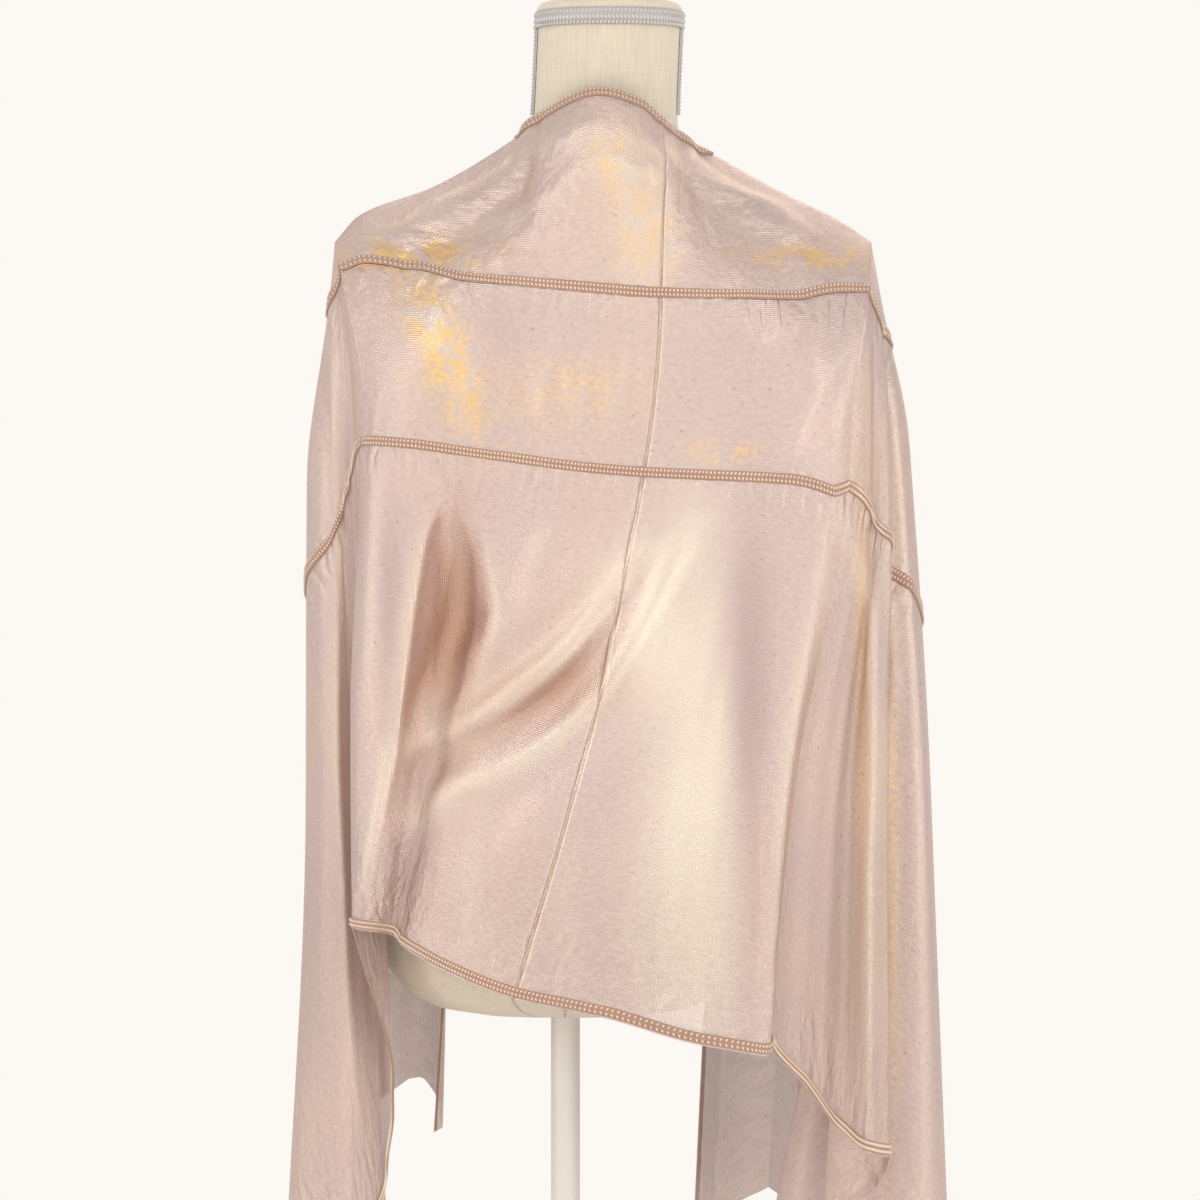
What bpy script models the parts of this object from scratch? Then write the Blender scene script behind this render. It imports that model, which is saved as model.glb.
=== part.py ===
"""Evening stole draped over a dress form that stands on a slim pole and a round base.

The back of the form faces -Y, +X is to the right of someone looking at that back, and +Z is up.
The origin is the centre of the base's underside, on the floor.

The stole is one rectangle of cloth. A point of it has two cloth coordinates: along, measured
from its pressed centre crease, and across, measured down from its neck edge. The cloth is carried
by a line that runs up one shoulder, round the nape and down the other shoulder. From each point
of that line a column of cloth hangs down, and the columns fan out round the two shoulder tips.
"""
import bpy
import bmesh
import numpy as np
from math import cos, pi, radians, sin

# Cloth sizes
STOLE_LENGTH = 1.90
STOLE_WIDTH = 0.70
UPPER_BRAID = 0.150
LOWER_BRAID = 0.285
WALL = 0.0012
GAP = 0.0003
STRETCH_GAP = 0.0009
BRAID_WIDTH = 0.0078
BRAID_THICKNESS = 0.0010
BRAID_GAP = 0.0013
NECK_BRAID_GAP = 0.0008
FORM_BRAID_GAP = 0.0010
EDGE_MARGIN = 0.0012

# Where the two shoulder tips lie on the cloth
LEFT_TIP_ALONG = -0.230
LEFT_TIP_ACROSS = 0.120
RIGHT_TIP_ALONG = 0.165
RIGHT_TIP_ACROSS = 0.100

# Where the neck edge crosses the two shoulder lines
LEFT_CROSSING = -0.120
RIGHT_CROSSING = 0.050

# Cloth distance that one radian of the fan round a shoulder tip counts as
FAN_REACH = 0.45
QUARTER = pi / 2

# Depth below the carrying line of the three places in the table of folds
CHEST_DEPTH = 0.15
WAIST_DEPTH = 0.40
LOW_DEPTH = 0.75
SHOULDER_ROUNDING = 0.17
HEIGHT_FADE = radians(16)
MOST_HEIGHT_SHIFT = 0.20
TRAVEL_POWER = 8
DEPTH_STEP = 0.005
COLUMN_STEP = 0.0025
DEEPEST = 1.00
COLUMN_SPACING = 0.0165
CLOSEST_COLUMNS = 0.008
TIP_START = 0.012
TIP_EXTRA_GAP = 0.0012
TIP_GAP_REACH = 0.050
CLOTH_ROWS = 14
ROW_POWER = 1.35
BRAID_STEP = 0.002
STEEP_ANGLE = radians(66)
SLOPING_ANGLE = radians(48)
NEAR_ANGLE = radians(1)
STEEP_EXTRA_GAP = 0.0022
CORNER_EXTRA_GAP = 0.0042
CORNER_REACH = 0.052
LINE_STEP = 0.002
DRAG_START = 0.1
FOLD_ROUNDING = 0.012
TIP_ROUNDING = 0.080
TIP_REACH = 0.150
SHOULDER_FOLD_ROUNDING = 0.045

# Form and stand sizes
FORM_BOTTOM = 0.440
FORM_TOP = 1.196
FORM_LEAN = 0.0335
FORM_POWER = 2.2
FORM_SIDES = 28
NECK_RADIUS = 0.053
NECK_RING_HEIGHT = 1.1905
SIDE_BRAID_FOOT = 1.122
CLOTH_CLEARANCE = 0.0013
SHOULDER_CLEARANCE = 0.0065
CLEARANCE_LOW = 0.985
CLEARANCE_HIGH = 1.030
POLE_RADIUS = 0.011
BASE_RADIUS = 0.160
BASE_EDGE = 0.008
BASE_HEIGHT = 0.020
CAP_HEIGHT = 0.012
CAP_OVERHANG = 0.001
HUB_RADIUS = 0.030
HUB_SLOPE_RADIUS = 0.060
HUB_SLOPE = 0.004
BASE_BEVEL = 0.010
TURNED_SIDES = 40

# The line that carries the cloth: place, along, across, x, y, z
CARRYING_LINE = (
    ("left tip", -0.230, 0.120, -0.1750, 0.000, 1.0260),
    ("left shoulder end", -0.213, 0.101, -0.1560, 0.001, 1.0465),
    ("left mid shoulder", -0.172, 0.056, -0.0980, 0.002, 1.0690),
    ("left crossing", -0.120, 0.000, -0.0300, 0.001, 1.1110),
    ("left nape", -0.095, 0.000, -0.0160, -0.038, 1.1230),
    ("nape", -0.050, 0.000, 0.0260, -0.065, 1.1390),
    ("right nape", -0.020, 0.000, 0.0560, -0.061, 1.1310),
    ("crease", 0.000, 0.000, 0.0730, -0.051, 1.1170),
    ("right crossing", 0.050, 0.000, 0.1030, 0.001, 1.0980),
    ("right mid shoulder", 0.108, 0.050, 0.1680, 0.002, 1.0620),
    ("right shoulder end", 0.140, 0.078, 0.2050, 0.001, 1.0440),
    ("right tip", 0.165, 0.100, 0.2320, 0.000, 1.0260),
)

# Folds of the cloth, each followed down its column: name, zone, key, then x and y in
# millimetres at the chest, the waist and low down. The key is the cloth coordinate along in the
# back zone, the angle in degrees in a fan, and the cloth coordinate across in a front zone.
FOLDS = (
    ("left front edge", "left front", 0.000, -50, 112, -76, 128, -98, 122),
    ("left front roll", "left front", 0.060, -74, 110, -92, 141, -96, 142),
    ("left breast fold", "left fan", 90, -98, 101, -116, 148, -122, 152),
    ("left breast hollow", "left fan", 87, -116, 94, -138, 134, -148, 136),
    ("left breast turn", "left fan", 84, -130, 86, -150, 116, -164, 114),
    ("left inner pleat", "left fan", 80, -144, 72, -146, 90, -140, 90),
    ("left inner turn", "left fan", 77, -154, 62, -150, 74, -138, 76),
    ("left side crest", "left fan", 70, -172, 54, -182, 66, -190, 72),
    ("left side turn", "left fan", 66, -176, 42, -184, 47, -192, 52),
    ("left side pleat", "left fan", 58, -172, 26, -158, 28, -134, 34),
    ("left side under", "left fan", 54, -178, 16, -162, 14, -140, 18),
    ("left outline front", "left fan", 48, -194, 2, -193, 4, -208, 8),
    ("left outline", "left fan", 43, -196, -20, -197, -20, -213, -16),
    ("left arm ridge", "left fan", 34, -176, -47, -171, -62, -162, -62),
    ("left arm under", "left fan", 25, -166, -54, -150, -46, -128, -38),
    ("left gap", "left fan", 12, -159, -60, -140, -58, -118, -58),
    ("left gap wall", "left fan", 4, -155, -74, -150, -80, -132, -84),
    ("left back edge", "back", -0.230, -150, -88, -163, -102, -158, -108),
    ("left back roll", "back", -0.212, -136, -98, -152, -116, -160, -122),
    ("left ridge", "back", -0.186, -112, -104, -126, -128, -158, -132),
    ("left pocket", "back", -0.150, -78, -103, -88, -90, -143, -102),
    ("left torso", "back", -0.105, -32, -102, -55, -100, -128, -114),
    ("left of crease", "back", -0.055, 18, -104, -12, -104, -98, -120),
    ("crease", "back", 0.000, 71, -106, 38, -107, -52, -124),
    ("right of crease", "back", 0.055, 125, -103, 92, -110, 10, -127),
    ("right back", "back", 0.110, 174, -97, 140, -114, 86, -129),
    ("right ridge", "back", 0.148, 208, -90, 166, -120, 146, -134),
    ("right ridge under", "right fan", 2, 218, -84, 170, -104, 140, -114),
    ("right panel", "right fan", 9, 226, -80, 190, -98, 168, -104),
    ("right hollow", "right fan", 16, 232, -70, 210, -90, 200, -86),
    ("right gold ridge", "right fan", 23, 239, -68, 229, -104, 226, -110),
    ("right fold edge", "right fan", 30, 246, -52, 242, -82, 243, -86),
    ("right fold turn", "right fan", 33.5, 244, -40, 234, -62, 232, -62),
    ("right valley", "right fan", 37, 239, -31, 212, -46, 186, -44),
    ("right valley turn", "right fan", 39.5, 240, -24, 222, -34, 196, -30),
    ("right outer ridge", "right fan", 44.5, 250, -24, 266, -36, 273, -34),
    ("right outline", "right fan", 48.5, 262, -4, 279, -8, 294, -6),
    ("right outline front", "right fan", 52, 257, 14, 275, 16, 290, 18),
    ("right side pleat", "right fan", 59, 238, 28, 222, 32, 160, 36),
    ("right side turn", "right fan", 62, 234, 38, 218, 46, 156, 52),
    ("right side crest", "right fan", 70, 234, 52, 250, 64, 256, 70),
    ("right breast turn", "right fan", 74, 226, 62, 244, 80, 250, 88),
    ("right inner pleat", "right fan", 82, 196, 80, 206, 102, 196, 110),
    ("right breast fold", "right fan", 90, 176, 92, 178, 124, 160, 138),
    ("right front roll", "right front", 0.050, 148, 106, 146, 142, 124, 148),
    ("right front edge", "right front", 0.000, 118, 110, 122, 126, 106, 122),
)

# Heights at which some columns pass the two braids and the hem: name, zone, key, then the three
HEIGHTS = (
    ("left outline", "left fan", 43, 0.9740, 0.7740, 0.205),
    ("left arm ridge", "left fan", 34, 0.9830, 0.8010, 0.258),
    ("left arm under", "left fan", 25, 0.9920, 0.8300, 0.310),
    ("left gap", "left fan", 12, 1.0000, 0.8560, 0.395),
    ("left gap wall", "left fan", 4, 1.0040, 0.8690, 0.460),
    ("left back edge", "back", -0.230, 1.0060, 0.8730, 0.511),
    ("left ridge", "back", -0.186, 1.0040, 0.8705, 0.509),
    ("left pocket", "back", -0.150, 0.9955, 0.8660, 0.505),
    ("left torso", "back", -0.105, 0.9915, 0.8605, 0.494),
    ("left of crease", "back", -0.055, 0.9870, 0.8540, 0.477),
    ("crease", "back", 0.000, 0.9830, 0.8495, 0.459),
    ("right of crease", "back", 0.055, 0.9820, 0.8470, 0.446),
    ("right back", "back", 0.110, 0.9820, 0.8440, 0.424),
    ("right ridge", "back", 0.148, 0.9800, 0.8340, 0.417),
    ("right back edge", "back", 0.165, 0.9780, 0.8280, 0.424),
    ("right panel", "right fan", 9, 0.9730, 0.8210, 0.396),
    ("right hollow", "right fan", 16, 0.9700, 0.8140, 0.360),
    ("right gold ridge", "right fan", 23, 0.9660, 0.8060, 0.343),
    ("right fold edge", "right fan", 30, 0.9580, 0.7960, 0.338),
)

# Folds that run slantwise over the back: name, along and across of the start and the end,
# half width and height
DRAG_FOLDS = (
    ("upper drag", 0.010, 0.335, -0.150, 0.475, 0.020, 0.0070),
    ("lower drag", 0.050, 0.330, -0.120, 0.560, 0.024, 0.0080),
    ("hip drag", 0.060, 0.440, -0.060, 0.640, 0.026, 0.0060),
    ("shoulder blade drag", 0.130, 0.150, 0.105, 0.290, 0.016, 0.0050),
)

# Profile of the neck's cap: size against the neck, and height against the cap's height
CAP_PROFILE = ((1.0, 0.0), (1.0, 0.45), (0.94, 0.8), (0.82, 1.0))

# Sections of the form: name, height, half width, depth behind and depth in front of its axis
FORM_SECTIONS = (
    ("underside", 0.440, 0.060, 0.045, 0.045),
    ("underside curve", 0.446, 0.096, 0.070, 0.066),
    ("bottom edge", 0.460, 0.122, 0.086, 0.082),
    ("lower hip", 0.484, 0.139, 0.097, 0.092),
    ("hip", 0.530, 0.146, 0.104, 0.097),
    ("upper hip", 0.590, 0.144, 0.101, 0.094),
    ("below waist", 0.645, 0.128, 0.086, 0.087),
    ("waist", 0.710, 0.105, 0.070, 0.080),
    ("above waist", 0.760, 0.112, 0.074, 0.086),
    ("ribs", 0.810, 0.134, 0.085, 0.099),
    ("bust", 0.870, 0.152, 0.094, 0.114),
    ("upper bust", 0.930, 0.164, 0.097, 0.104),
    ("armhole", 0.975, 0.177, 0.092, 0.084),
    ("shoulder end", 1.004, 0.184, 0.079, 0.064),
    ("shoulder turn", 1.024, 0.178, 0.066, 0.050),
    ("shoulder", 1.040, 0.158, 0.058, 0.042),
    ("mid shoulder", 1.055, 0.131, 0.054, 0.040),
    ("inner shoulder", 1.075, 0.090, 0.052, 0.042),
    ("neck root", 1.095, 0.064, 0.051, 0.044),
    ("neck base", 1.118, 0.0550, 0.050, 0.047),
    ("neck", 1.145, 0.0545, 0.052, 0.050),
    ("neck top", 1.196, 0.0545, 0.053, 0.053),
)


def curve_through(keys, rows, at):
    """Smooth curve through rows of values that never swings past them; straight beyond its ends."""
    keys = np.asarray(keys, float)
    rows = np.asarray(rows, float)
    at = np.asarray(at, float)
    steps = np.diff(keys)
    rises = np.diff(rows, axis=0) / steps[:, None]
    before, after = rises[:-1], rises[1:]
    level = np.where(before * after > 0, before + after, 1.0)
    slopes = np.zeros_like(rows)
    slopes[1:-1] = np.where(before * after > 0, 2 * before * after / level, 0.0)
    slopes[0] = rises[0]
    slopes[-1] = rises[-1]
    cell = np.clip(np.searchsorted(keys, at, side="right") - 1, 0, len(steps) - 1)
    step = steps[cell][:, None]
    part = (at[:, None] - keys[cell][:, None]) / step
    inside = np.clip(part, 0.0, 1.0)
    square, cube = inside ** 2, inside ** 3
    value = (rows[cell] * (2 * cube - 3 * square + 1) + rows[cell + 1] * (3 * square - 2 * cube)
             + slopes[cell] * step * (cube - 2 * square + inside)
             + slopes[cell + 1] * step * (cube - square))
    end_slope = np.where(part < 0, slopes[cell], slopes[cell + 1])
    return value + (part - inside) * step * end_slope


def column_of(zone, key):
    """Number of the column of cloth that hangs at a fold's key in its zone."""
    if zone == "back":
        return key
    if zone == "right fan":
        return RIGHT_TIP_ALONG + radians(key) * FAN_REACH
    if zone == "right front":
        return RIGHT_TIP_ALONG + QUARTER * FAN_REACH + RIGHT_TIP_ACROSS - key
    if zone == "left fan":
        return LEFT_TIP_ALONG - radians(key) * FAN_REACH
    return LEFT_TIP_ALONG - QUARTER * FAN_REACH - LEFT_TIP_ACROSS + key


FIRST_COLUMN = column_of("left front", 0.0)
LAST_COLUMN = column_of("right front", 0.0)


def carrying_across(along):
    """Cloth coordinate across of the carrying line at a cloth coordinate along."""
    rows = [(row[1], row[2]) for row in CARRYING_LINE]
    return np.interp(along, [row[0] for row in rows], [row[1] for row in rows])


def carrying_along(side, across):
    """Distance from the crease, along the cloth, where the carrying line lies that far across."""
    rows = [row for row in CARRYING_LINE if row[1] * side > 0]
    rows = [(row[2], abs(row[1])) for row in rows if row[2] > 0 or row[0].endswith("crossing")]
    rows.sort()
    return np.interp(across, [row[0] for row in rows], [row[1] for row in rows])


def carrying_key(columns):
    """Cloth coordinate along of the carrying line where each column starts."""
    columns = np.asarray(columns, float)
    key = np.clip(columns, LEFT_TIP_ALONG, RIGHT_TIP_ALONG)
    front = RIGHT_TIP_ALONG + QUARTER * FAN_REACH
    across = np.clip(RIGHT_TIP_ACROSS - (columns - front), 0.0, RIGHT_TIP_ACROSS)
    key = np.where(columns > front, carrying_along(1, across), key)
    front = LEFT_TIP_ALONG - QUARTER * FAN_REACH
    across = np.clip(LEFT_TIP_ACROSS - (front - columns), 0.0, LEFT_TIP_ACROSS)
    return np.where(columns < front, -carrying_along(-1, across), key)


def carrying_point(keys):
    """Points of the carrying line at cloth coordinates along it."""
    line_keys = [row[1] for row in CARRYING_LINE]
    return curve_through(line_keys, [row[3:] for row in CARRYING_LINE], keys)


def over_shoulder(keys):
    """Direction straight up off a shoulder line."""
    after = np.minimum(keys + LINE_STEP, CARRYING_LINE[-1][1])
    before = np.maximum(keys - LINE_STEP, CARRYING_LINE[0][1])
    run = carrying_point(after) - carrying_point(before)
    upward = np.stack([-run[:, 2], np.zeros(len(run)), run[:, 0]], axis=1)
    return upward / np.linalg.norm(upward, axis=1, keepdims=True)


def on_shoulder(columns):
    """True for the columns that start on a shoulder line, where back and front columns meet."""
    keys = carrying_key(columns)
    return (keys >= RIGHT_CROSSING - 1e-9) | (keys <= LEFT_CROSSING + 1e-9)


def fan_angle(column):
    """Side of a column's fan and its angle, or None outside the two fans."""
    right = (column - RIGHT_TIP_ALONG) / FAN_REACH
    left = (LEFT_TIP_ALONG - column) / FAN_REACH
    if 0 < right <= QUARTER + 1e-9:
        return RIGHT_TIP_ALONG, RIGHT_TIP_ACROSS, right
    if 0 < left <= QUARTER + 1e-9:
        return -LEFT_TIP_ALONG, LEFT_TIP_ACROSS, left
    return None


def depth_at(column, across):
    """Depth down a column where the cloth lies that far across, never above the carrying line."""
    fan = fan_angle(column)
    if fan is None:
        return max(0.0, across - float(carrying_across(column)))
    return max(0.0, across - fan[1]) / max(cos(fan[2]), 1e-6)


def is_front(column):
    """True for the columns that hang down the front between a fan and the neck edge."""
    right_front = RIGHT_TIP_ALONG + QUARTER * FAN_REACH + 1e-9
    left_front = LEFT_TIP_ALONG - QUARTER * FAN_REACH - 1e-9
    return column > right_front or column < left_front


def depth_of_end(column):
    """Depth down a column of the cloth's hem or its short end, whichever comes first."""
    if is_front(column):
        return STOLE_LENGTH / 2 - abs(float(carrying_key([column])[0]))
    fan = fan_angle(column)
    if fan is None:
        return depth_at(column, STOLE_WIDTH)
    short_end = (STOLE_LENGTH / 2 - fan[0]) / max(sin(fan[2]), 1e-6)
    return min(depth_at(column, STOLE_WIDTH), short_end)


def end_angle(tip_along, tip_across, across):
    """Angle in a fan at which a line along the cloth reaches the short end."""
    return float(np.arctan2(STOLE_LENGTH / 2 - abs(tip_along), across - tip_across))


def form_section(heights):
    """Centre, half width and the two depths of the form at some heights."""
    keys = [row[1] for row in FORM_SECTIONS]
    sizes = curve_through(keys, [row[2:] for row in FORM_SECTIONS], np.clip(heights, keys[0], keys[-1]))
    centre = FORM_LEAN * (np.asarray(heights) - FORM_BOTTOM) / (FORM_TOP - FORM_BOTTOM)
    return centre, sizes[:, 0], sizes[:, 1], sizes[:, 2]


def clear_of_form(points):
    """Points moved straight outwards until they clear the form."""
    shape = points.shape
    points = points.reshape(-1, 3)
    centre, width, behind, before = form_section(points[:, 2])
    rise = np.clip((points[:, 2] - CLEARANCE_LOW) / (CLEARANCE_HIGH - CLEARANCE_LOW), 0, 1)
    clearance = CLOTH_CLEARANCE + (SHOULDER_CLEARANCE - CLOTH_CLEARANCE) * rise
    across = points[:, 0] - centre
    through = points[:, 1]
    depth = np.where(through < 0, behind, before) + clearance
    level = (np.abs(across) / (width + clearance)) ** FORM_POWER
    level += (np.abs(through) / depth) ** FORM_POWER
    inside = (level < 1) & (points[:, 2] > FORM_BOTTOM) & (points[:, 2] < FORM_TOP)
    growth = np.where(inside, np.maximum(level, 1e-3) ** (-1 / FORM_POWER), 1.0)
    moved = points.copy()
    moved[:, 0] = centre + across * growth
    moved[:, 1] = through * growth
    return moved.reshape(shape)


def cloth_coordinates(columns, depths):
    """Cloth coordinates along and across of every column at every depth."""
    along = np.empty((len(columns), len(depths)))
    across = np.empty_like(along)
    for index, column in enumerate(columns):
        fan = fan_angle(column)
        if is_front(column):
            side = 1 if column > 0 else -1
            start = abs(float(carrying_key([column])[0]))
            edge = LAST_COLUMN if side > 0 else FIRST_COLUMN
            along[index] = side * (start + depths)
            across[index] = abs(edge - column)
        elif fan is None:
            along[index] = column
            across[index] = carrying_across(column) + depths
        else:
            side = 1 if column > 0 else -1
            along[index] = side * (fan[0] + depths * sin(fan[2]))
            across[index] = fan[1] + depths * cos(fan[2])
    return along, across


def drag_relief(along, across):
    """Height of the slanting folds over the cloth."""
    relief = np.zeros_like(along)
    for _name, along_a, across_a, along_b, across_b, half_width, height in DRAG_FOLDS:
        run = np.array([along_b - along_a, across_b - across_a])
        length = np.hypot(*run)
        run = run / length
        down = (along - along_a) * run[0] + (across - across_a) * run[1]
        aside = (along - along_a) * run[1] - (across - across_a) * run[0]
        place = np.clip(down / length, 0, 1)
        beyond = down - place * length
        swell = np.sin(pi * (DRAG_START + place * (1 - 2 * DRAG_START)))
        relief += height * swell * np.exp(-(aside ** 2 + beyond ** 2) / half_width ** 2)
    return relief


def rounded(places, rounding):
    """Places along the columns with the folds' corners rounded off."""
    reach = int(round(3 * rounding / COLUMN_STEP))
    weights = np.exp(-0.5 * (np.arange(-reach, reach + 1) * COLUMN_STEP / rounding) ** 2)
    weights /= weights.sum()
    before = 2 * places[0] - places[reach:0:-1]
    after = 2 * places[-1] - places[-2:-reach - 2:-1]
    padded = np.concatenate([before, places, after])
    lines = [np.convolve(padded[:, axis], weights, "valid") for axis in range(places.shape[1])]
    return np.stack(lines, axis=1)


class ClothSurface:
    """The middle of the draped cloth and its outward direction, worked out on a fine grid."""

    def __init__(self):
        count = int(round((LAST_COLUMN - FIRST_COLUMN) / COLUMN_STEP)) + 1
        self.columns = np.linspace(FIRST_COLUMN, LAST_COLUMN, count)
        self.depths = np.arange(0.0, DEEPEST + DEPTH_STEP, DEPTH_STEP)
        self.points = self.hang()
        self.outward = self.normals()

    def hang(self):
        """Hangs every column from the carrying line at its true length."""
        fold_columns = [column_of(row[1], row[2]) for row in FOLDS]
        rows = [[value / 1000 for value in row[3:]] for row in FOLDS]
        places = rounded(curve_through(fold_columns, rows, self.columns), FOLD_ROUNDING)
        shoulder = rounded(places[:, 0:2], SHOULDER_FOLD_ROUNDING)
        start = carrying_point(carrying_key(self.columns))
        stations = [0.0, CHEST_DEPTH, WAIST_DEPTH, LOW_DEPTH]
        flat = np.stack([shoulder, places[:, 0:2], places[:, 2:4], places[:, 4:6]])
        hanging = curve_through(stations, flat.reshape(4, -1), self.depths)
        hanging = hanging.reshape(len(self.depths), len(self.columns), 2)
        reach = start[:, :2] - hanging[0]
        fade = np.clip(1 - self.depths / SHOULDER_ROUNDING, 0, 1) ** 2
        plan = hanging + reach[None] * fade[:, None, None]
        plan = self.soften_tips(plan.transpose(1, 0, 2), start[:, :2])
        travel = np.linalg.norm(np.diff(plan, axis=1), axis=2) / DEPTH_STEP
        travel = travel / (1 + travel ** TRAVEL_POWER) ** (1 / TRAVEL_POWER)
        fall = np.sqrt(1 - travel ** 2) * DEPTH_STEP
        height = np.concatenate([np.zeros((len(self.columns), 1)), np.cumsum(fall, axis=1)], axis=1)
        height = self.set_heights(start[:, 2:3] - height)
        points = np.concatenate([plan, height[:, :, None]], axis=2)
        along, across = cloth_coordinates(self.columns, self.depths)
        self.points = points
        outward = self.normals()
        points = points + outward * drag_relief(along, across)[:, :, None]
        return clear_of_form(points)

    def soften_tips(self, plan, start):
        """Plan of the columns with the folds melted together close to the line that carries them."""
        offset = plan - start[:, None, :]
        smooth = rounded(offset.reshape(len(self.columns), -1), TIP_ROUNDING).reshape(offset.shape)
        fade = np.clip(1 - self.depths / TIP_REACH, 0, 1)
        fade = (fade ** 2 * (3 - 2 * fade))[None, :, None]
        return start[:, None, :] + offset * (1 - fade) + smooth * fade

    def set_heights(self, height):
        """Heights down each column, with the braids and the hem at their named heights."""
        keys = [column_of(row[1], row[2]) for row in HEIGHTS]
        most = MOST_HEIGHT_SHIFT * self.depths
        shifts = np.zeros_like(height)
        named = [index for index, column in enumerate(self.columns) if keys[0] <= column <= keys[-1]]
        for index in named:
            column = self.columns[index]
            heights = curve_through(keys, [row[3:] for row in HEIGHTS], [column])[0]
            stations = [depth_at(column, across) for across in (UPPER_BRAID, LOWER_BRAID, STOLE_WIDTH)]
            values = [[height[index, 0]]] + [[value] for value in heights]
            line = curve_through([0.0] + stations, values, self.depths)[:, 0]
            shifts[index] = np.clip(line - height[index], -most, most)
        for index, column in enumerate(self.columns):
            beyond = max(keys[0] - column, column - keys[-1])
            if beyond > 0:
                fade = max(0.0, 1 - beyond / FAN_REACH / HEIGHT_FADE)
                nearest = named[0] if column < keys[0] else named[-1]
                shifts[index] = shifts[nearest] * fade ** 2 * (3 - 2 * fade)
        return height + shifts

    def normals(self):
        """Direction away from the form at every point of the grid."""
        sideways = np.gradient(self.points, axis=0)
        down = np.gradient(self.points, axis=1)
        outward = np.cross(down, sideways)
        size = np.linalg.norm(outward, axis=2, keepdims=True)
        outward = outward / np.maximum(size, 1e-12)
        shared = on_shoulder(self.columns)
        outward[shared, 0] = over_shoulder(carrying_key(self.columns))[shared]
        return outward

    def start_of(self, column, lift):
        """Point of the shoulder line where a column starts, lifted off the middle of the cloth."""
        key = carrying_key([column])
        return (clear_of_form(carrying_point(key)) + over_shoulder(key) * lift)[0]

    def at(self, column, depth, lift=0.0):
        """Point of the cloth at a column and depth, lifted off its middle by a distance."""
        place = (np.asarray(column) - FIRST_COLUMN) / (self.columns[1] - self.columns[0])
        drop = np.asarray(depth) / DEPTH_STEP
        left = np.clip(np.floor(place).astype(int), 0, len(self.columns) - 2)
        top = np.clip(np.floor(drop).astype(int), 0, len(self.depths) - 2)
        right_part = np.clip(place - left, 0, 1)[..., None]
        low_part = np.clip(drop - top, 0, 1)[..., None]

        def blend(grid):
            upper = grid[left, top] * (1 - right_part) + grid[left + 1, top] * right_part
            lower = grid[left, top + 1] * (1 - right_part) + grid[left + 1, top + 1] * right_part
            return upper * (1 - low_part) + lower * low_part

        outward = blend(self.outward)
        outward = outward / np.linalg.norm(outward, axis=-1, keepdims=True)
        return blend(self.points) + outward * lift


def shared_columns():
    """Columns at which every stretch of cloth has its sections, so that their edges match."""
    marks = [column_of(row[1], row[2]) for row in FOLDS if not row[1].endswith("front")]
    right_corner = end_angle(RIGHT_TIP_ALONG, RIGHT_TIP_ACROSS, STOLE_WIDTH)
    left_corner = end_angle(LEFT_TIP_ALONG, LEFT_TIP_ACROSS, STOLE_WIDTH)
    marks.append(RIGHT_TIP_ALONG + right_corner * FAN_REACH)
    marks.append(LEFT_TIP_ALONG - left_corner * FAN_REACH)
    marks += [row[1] for row in CARRYING_LINE]
    marks = np.unique(np.round(marks, 6))
    columns = [marks[0]]
    for end in marks[1:]:
        if end - columns[-1] < CLOSEST_COLUMNS:
            continue
        parts = max(1, int(round((end - columns[-1]) / COLUMN_SPACING)))
        columns += list(np.linspace(columns[-1], end, parts + 1)[1:])
    left = [column_of("left front", float(carrying_across(key)))
            for key in columns if LEFT_TIP_ALONG < key <= LEFT_CROSSING]
    right = [column_of("right front", float(carrying_across(key)))
             for key in columns if RIGHT_CROSSING <= key < RIGHT_TIP_ALONG]
    return np.array(sorted(left) + columns + sorted(right))


def grid_faces(rows, across):
    """Quads of a grid of points with that many rows and points in each row."""
    quads = []
    for row in range(rows - 1):
        for place in range(across - 1):
            first = row * across + place
            quads.append((first, first + across, first + across + 1, first + 1))
    return quads


def wall_object(name, outer, inner, material, collection):
    """Closed wall between an outer and an inner grid of points, with its rim."""
    rows, across = outer.shape[:2]
    count = rows * across
    faces = [tuple(reversed(face)) for face in grid_faces(rows, across)]
    faces += [tuple(index + count for index in reversed(face)) for face in faces]
    rim = [place for place in range(across)]
    rim += [row * across + across - 1 for row in range(1, rows)]
    rim += [(rows - 1) * across + place for place in range(across - 2, -1, -1)]
    rim += [row * across for row in range(rows - 2, 0, -1)]
    for here, following in zip(rim, rim[1:] + rim[:1]):
        faces.append((here, following, following + count, here + count))
    points = np.concatenate([outer.reshape(-1, 3), inner.reshape(-1, 3)])
    mesh = bpy.data.meshes.new(name)
    mesh.from_pydata([tuple(point) for point in points.tolist()], [], faces)
    tidy = bmesh.new()
    tidy.from_mesh(mesh)
    bmesh.ops.remove_doubles(tidy, verts=tidy.verts, dist=0.00005)
    bmesh.ops.dissolve_degenerate(tidy, edges=tidy.edges, dist=0.00001)
    bmesh.ops.triangulate(tidy, faces=tidy.faces)
    bmesh.ops.recalc_face_normals(tidy, faces=tidy.faces)
    tidy.to_mesh(mesh)
    tidy.free()
    mesh.materials.append(material)
    mesh.shade_smooth()
    mesh.set_sharp_from_angle(angle=radians(40))
    result = bpy.data.objects.new(name, mesh)
    collection.objects.link(result)
    return result


def start_depth(column):
    """Depth at which a stretch of cloth starts down a column."""
    if is_front(column) or fan_angle(column) is None:
        return GAP / 2 if on_shoulder(np.array([column]))[0] else 0.0
    return TIP_START


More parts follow.
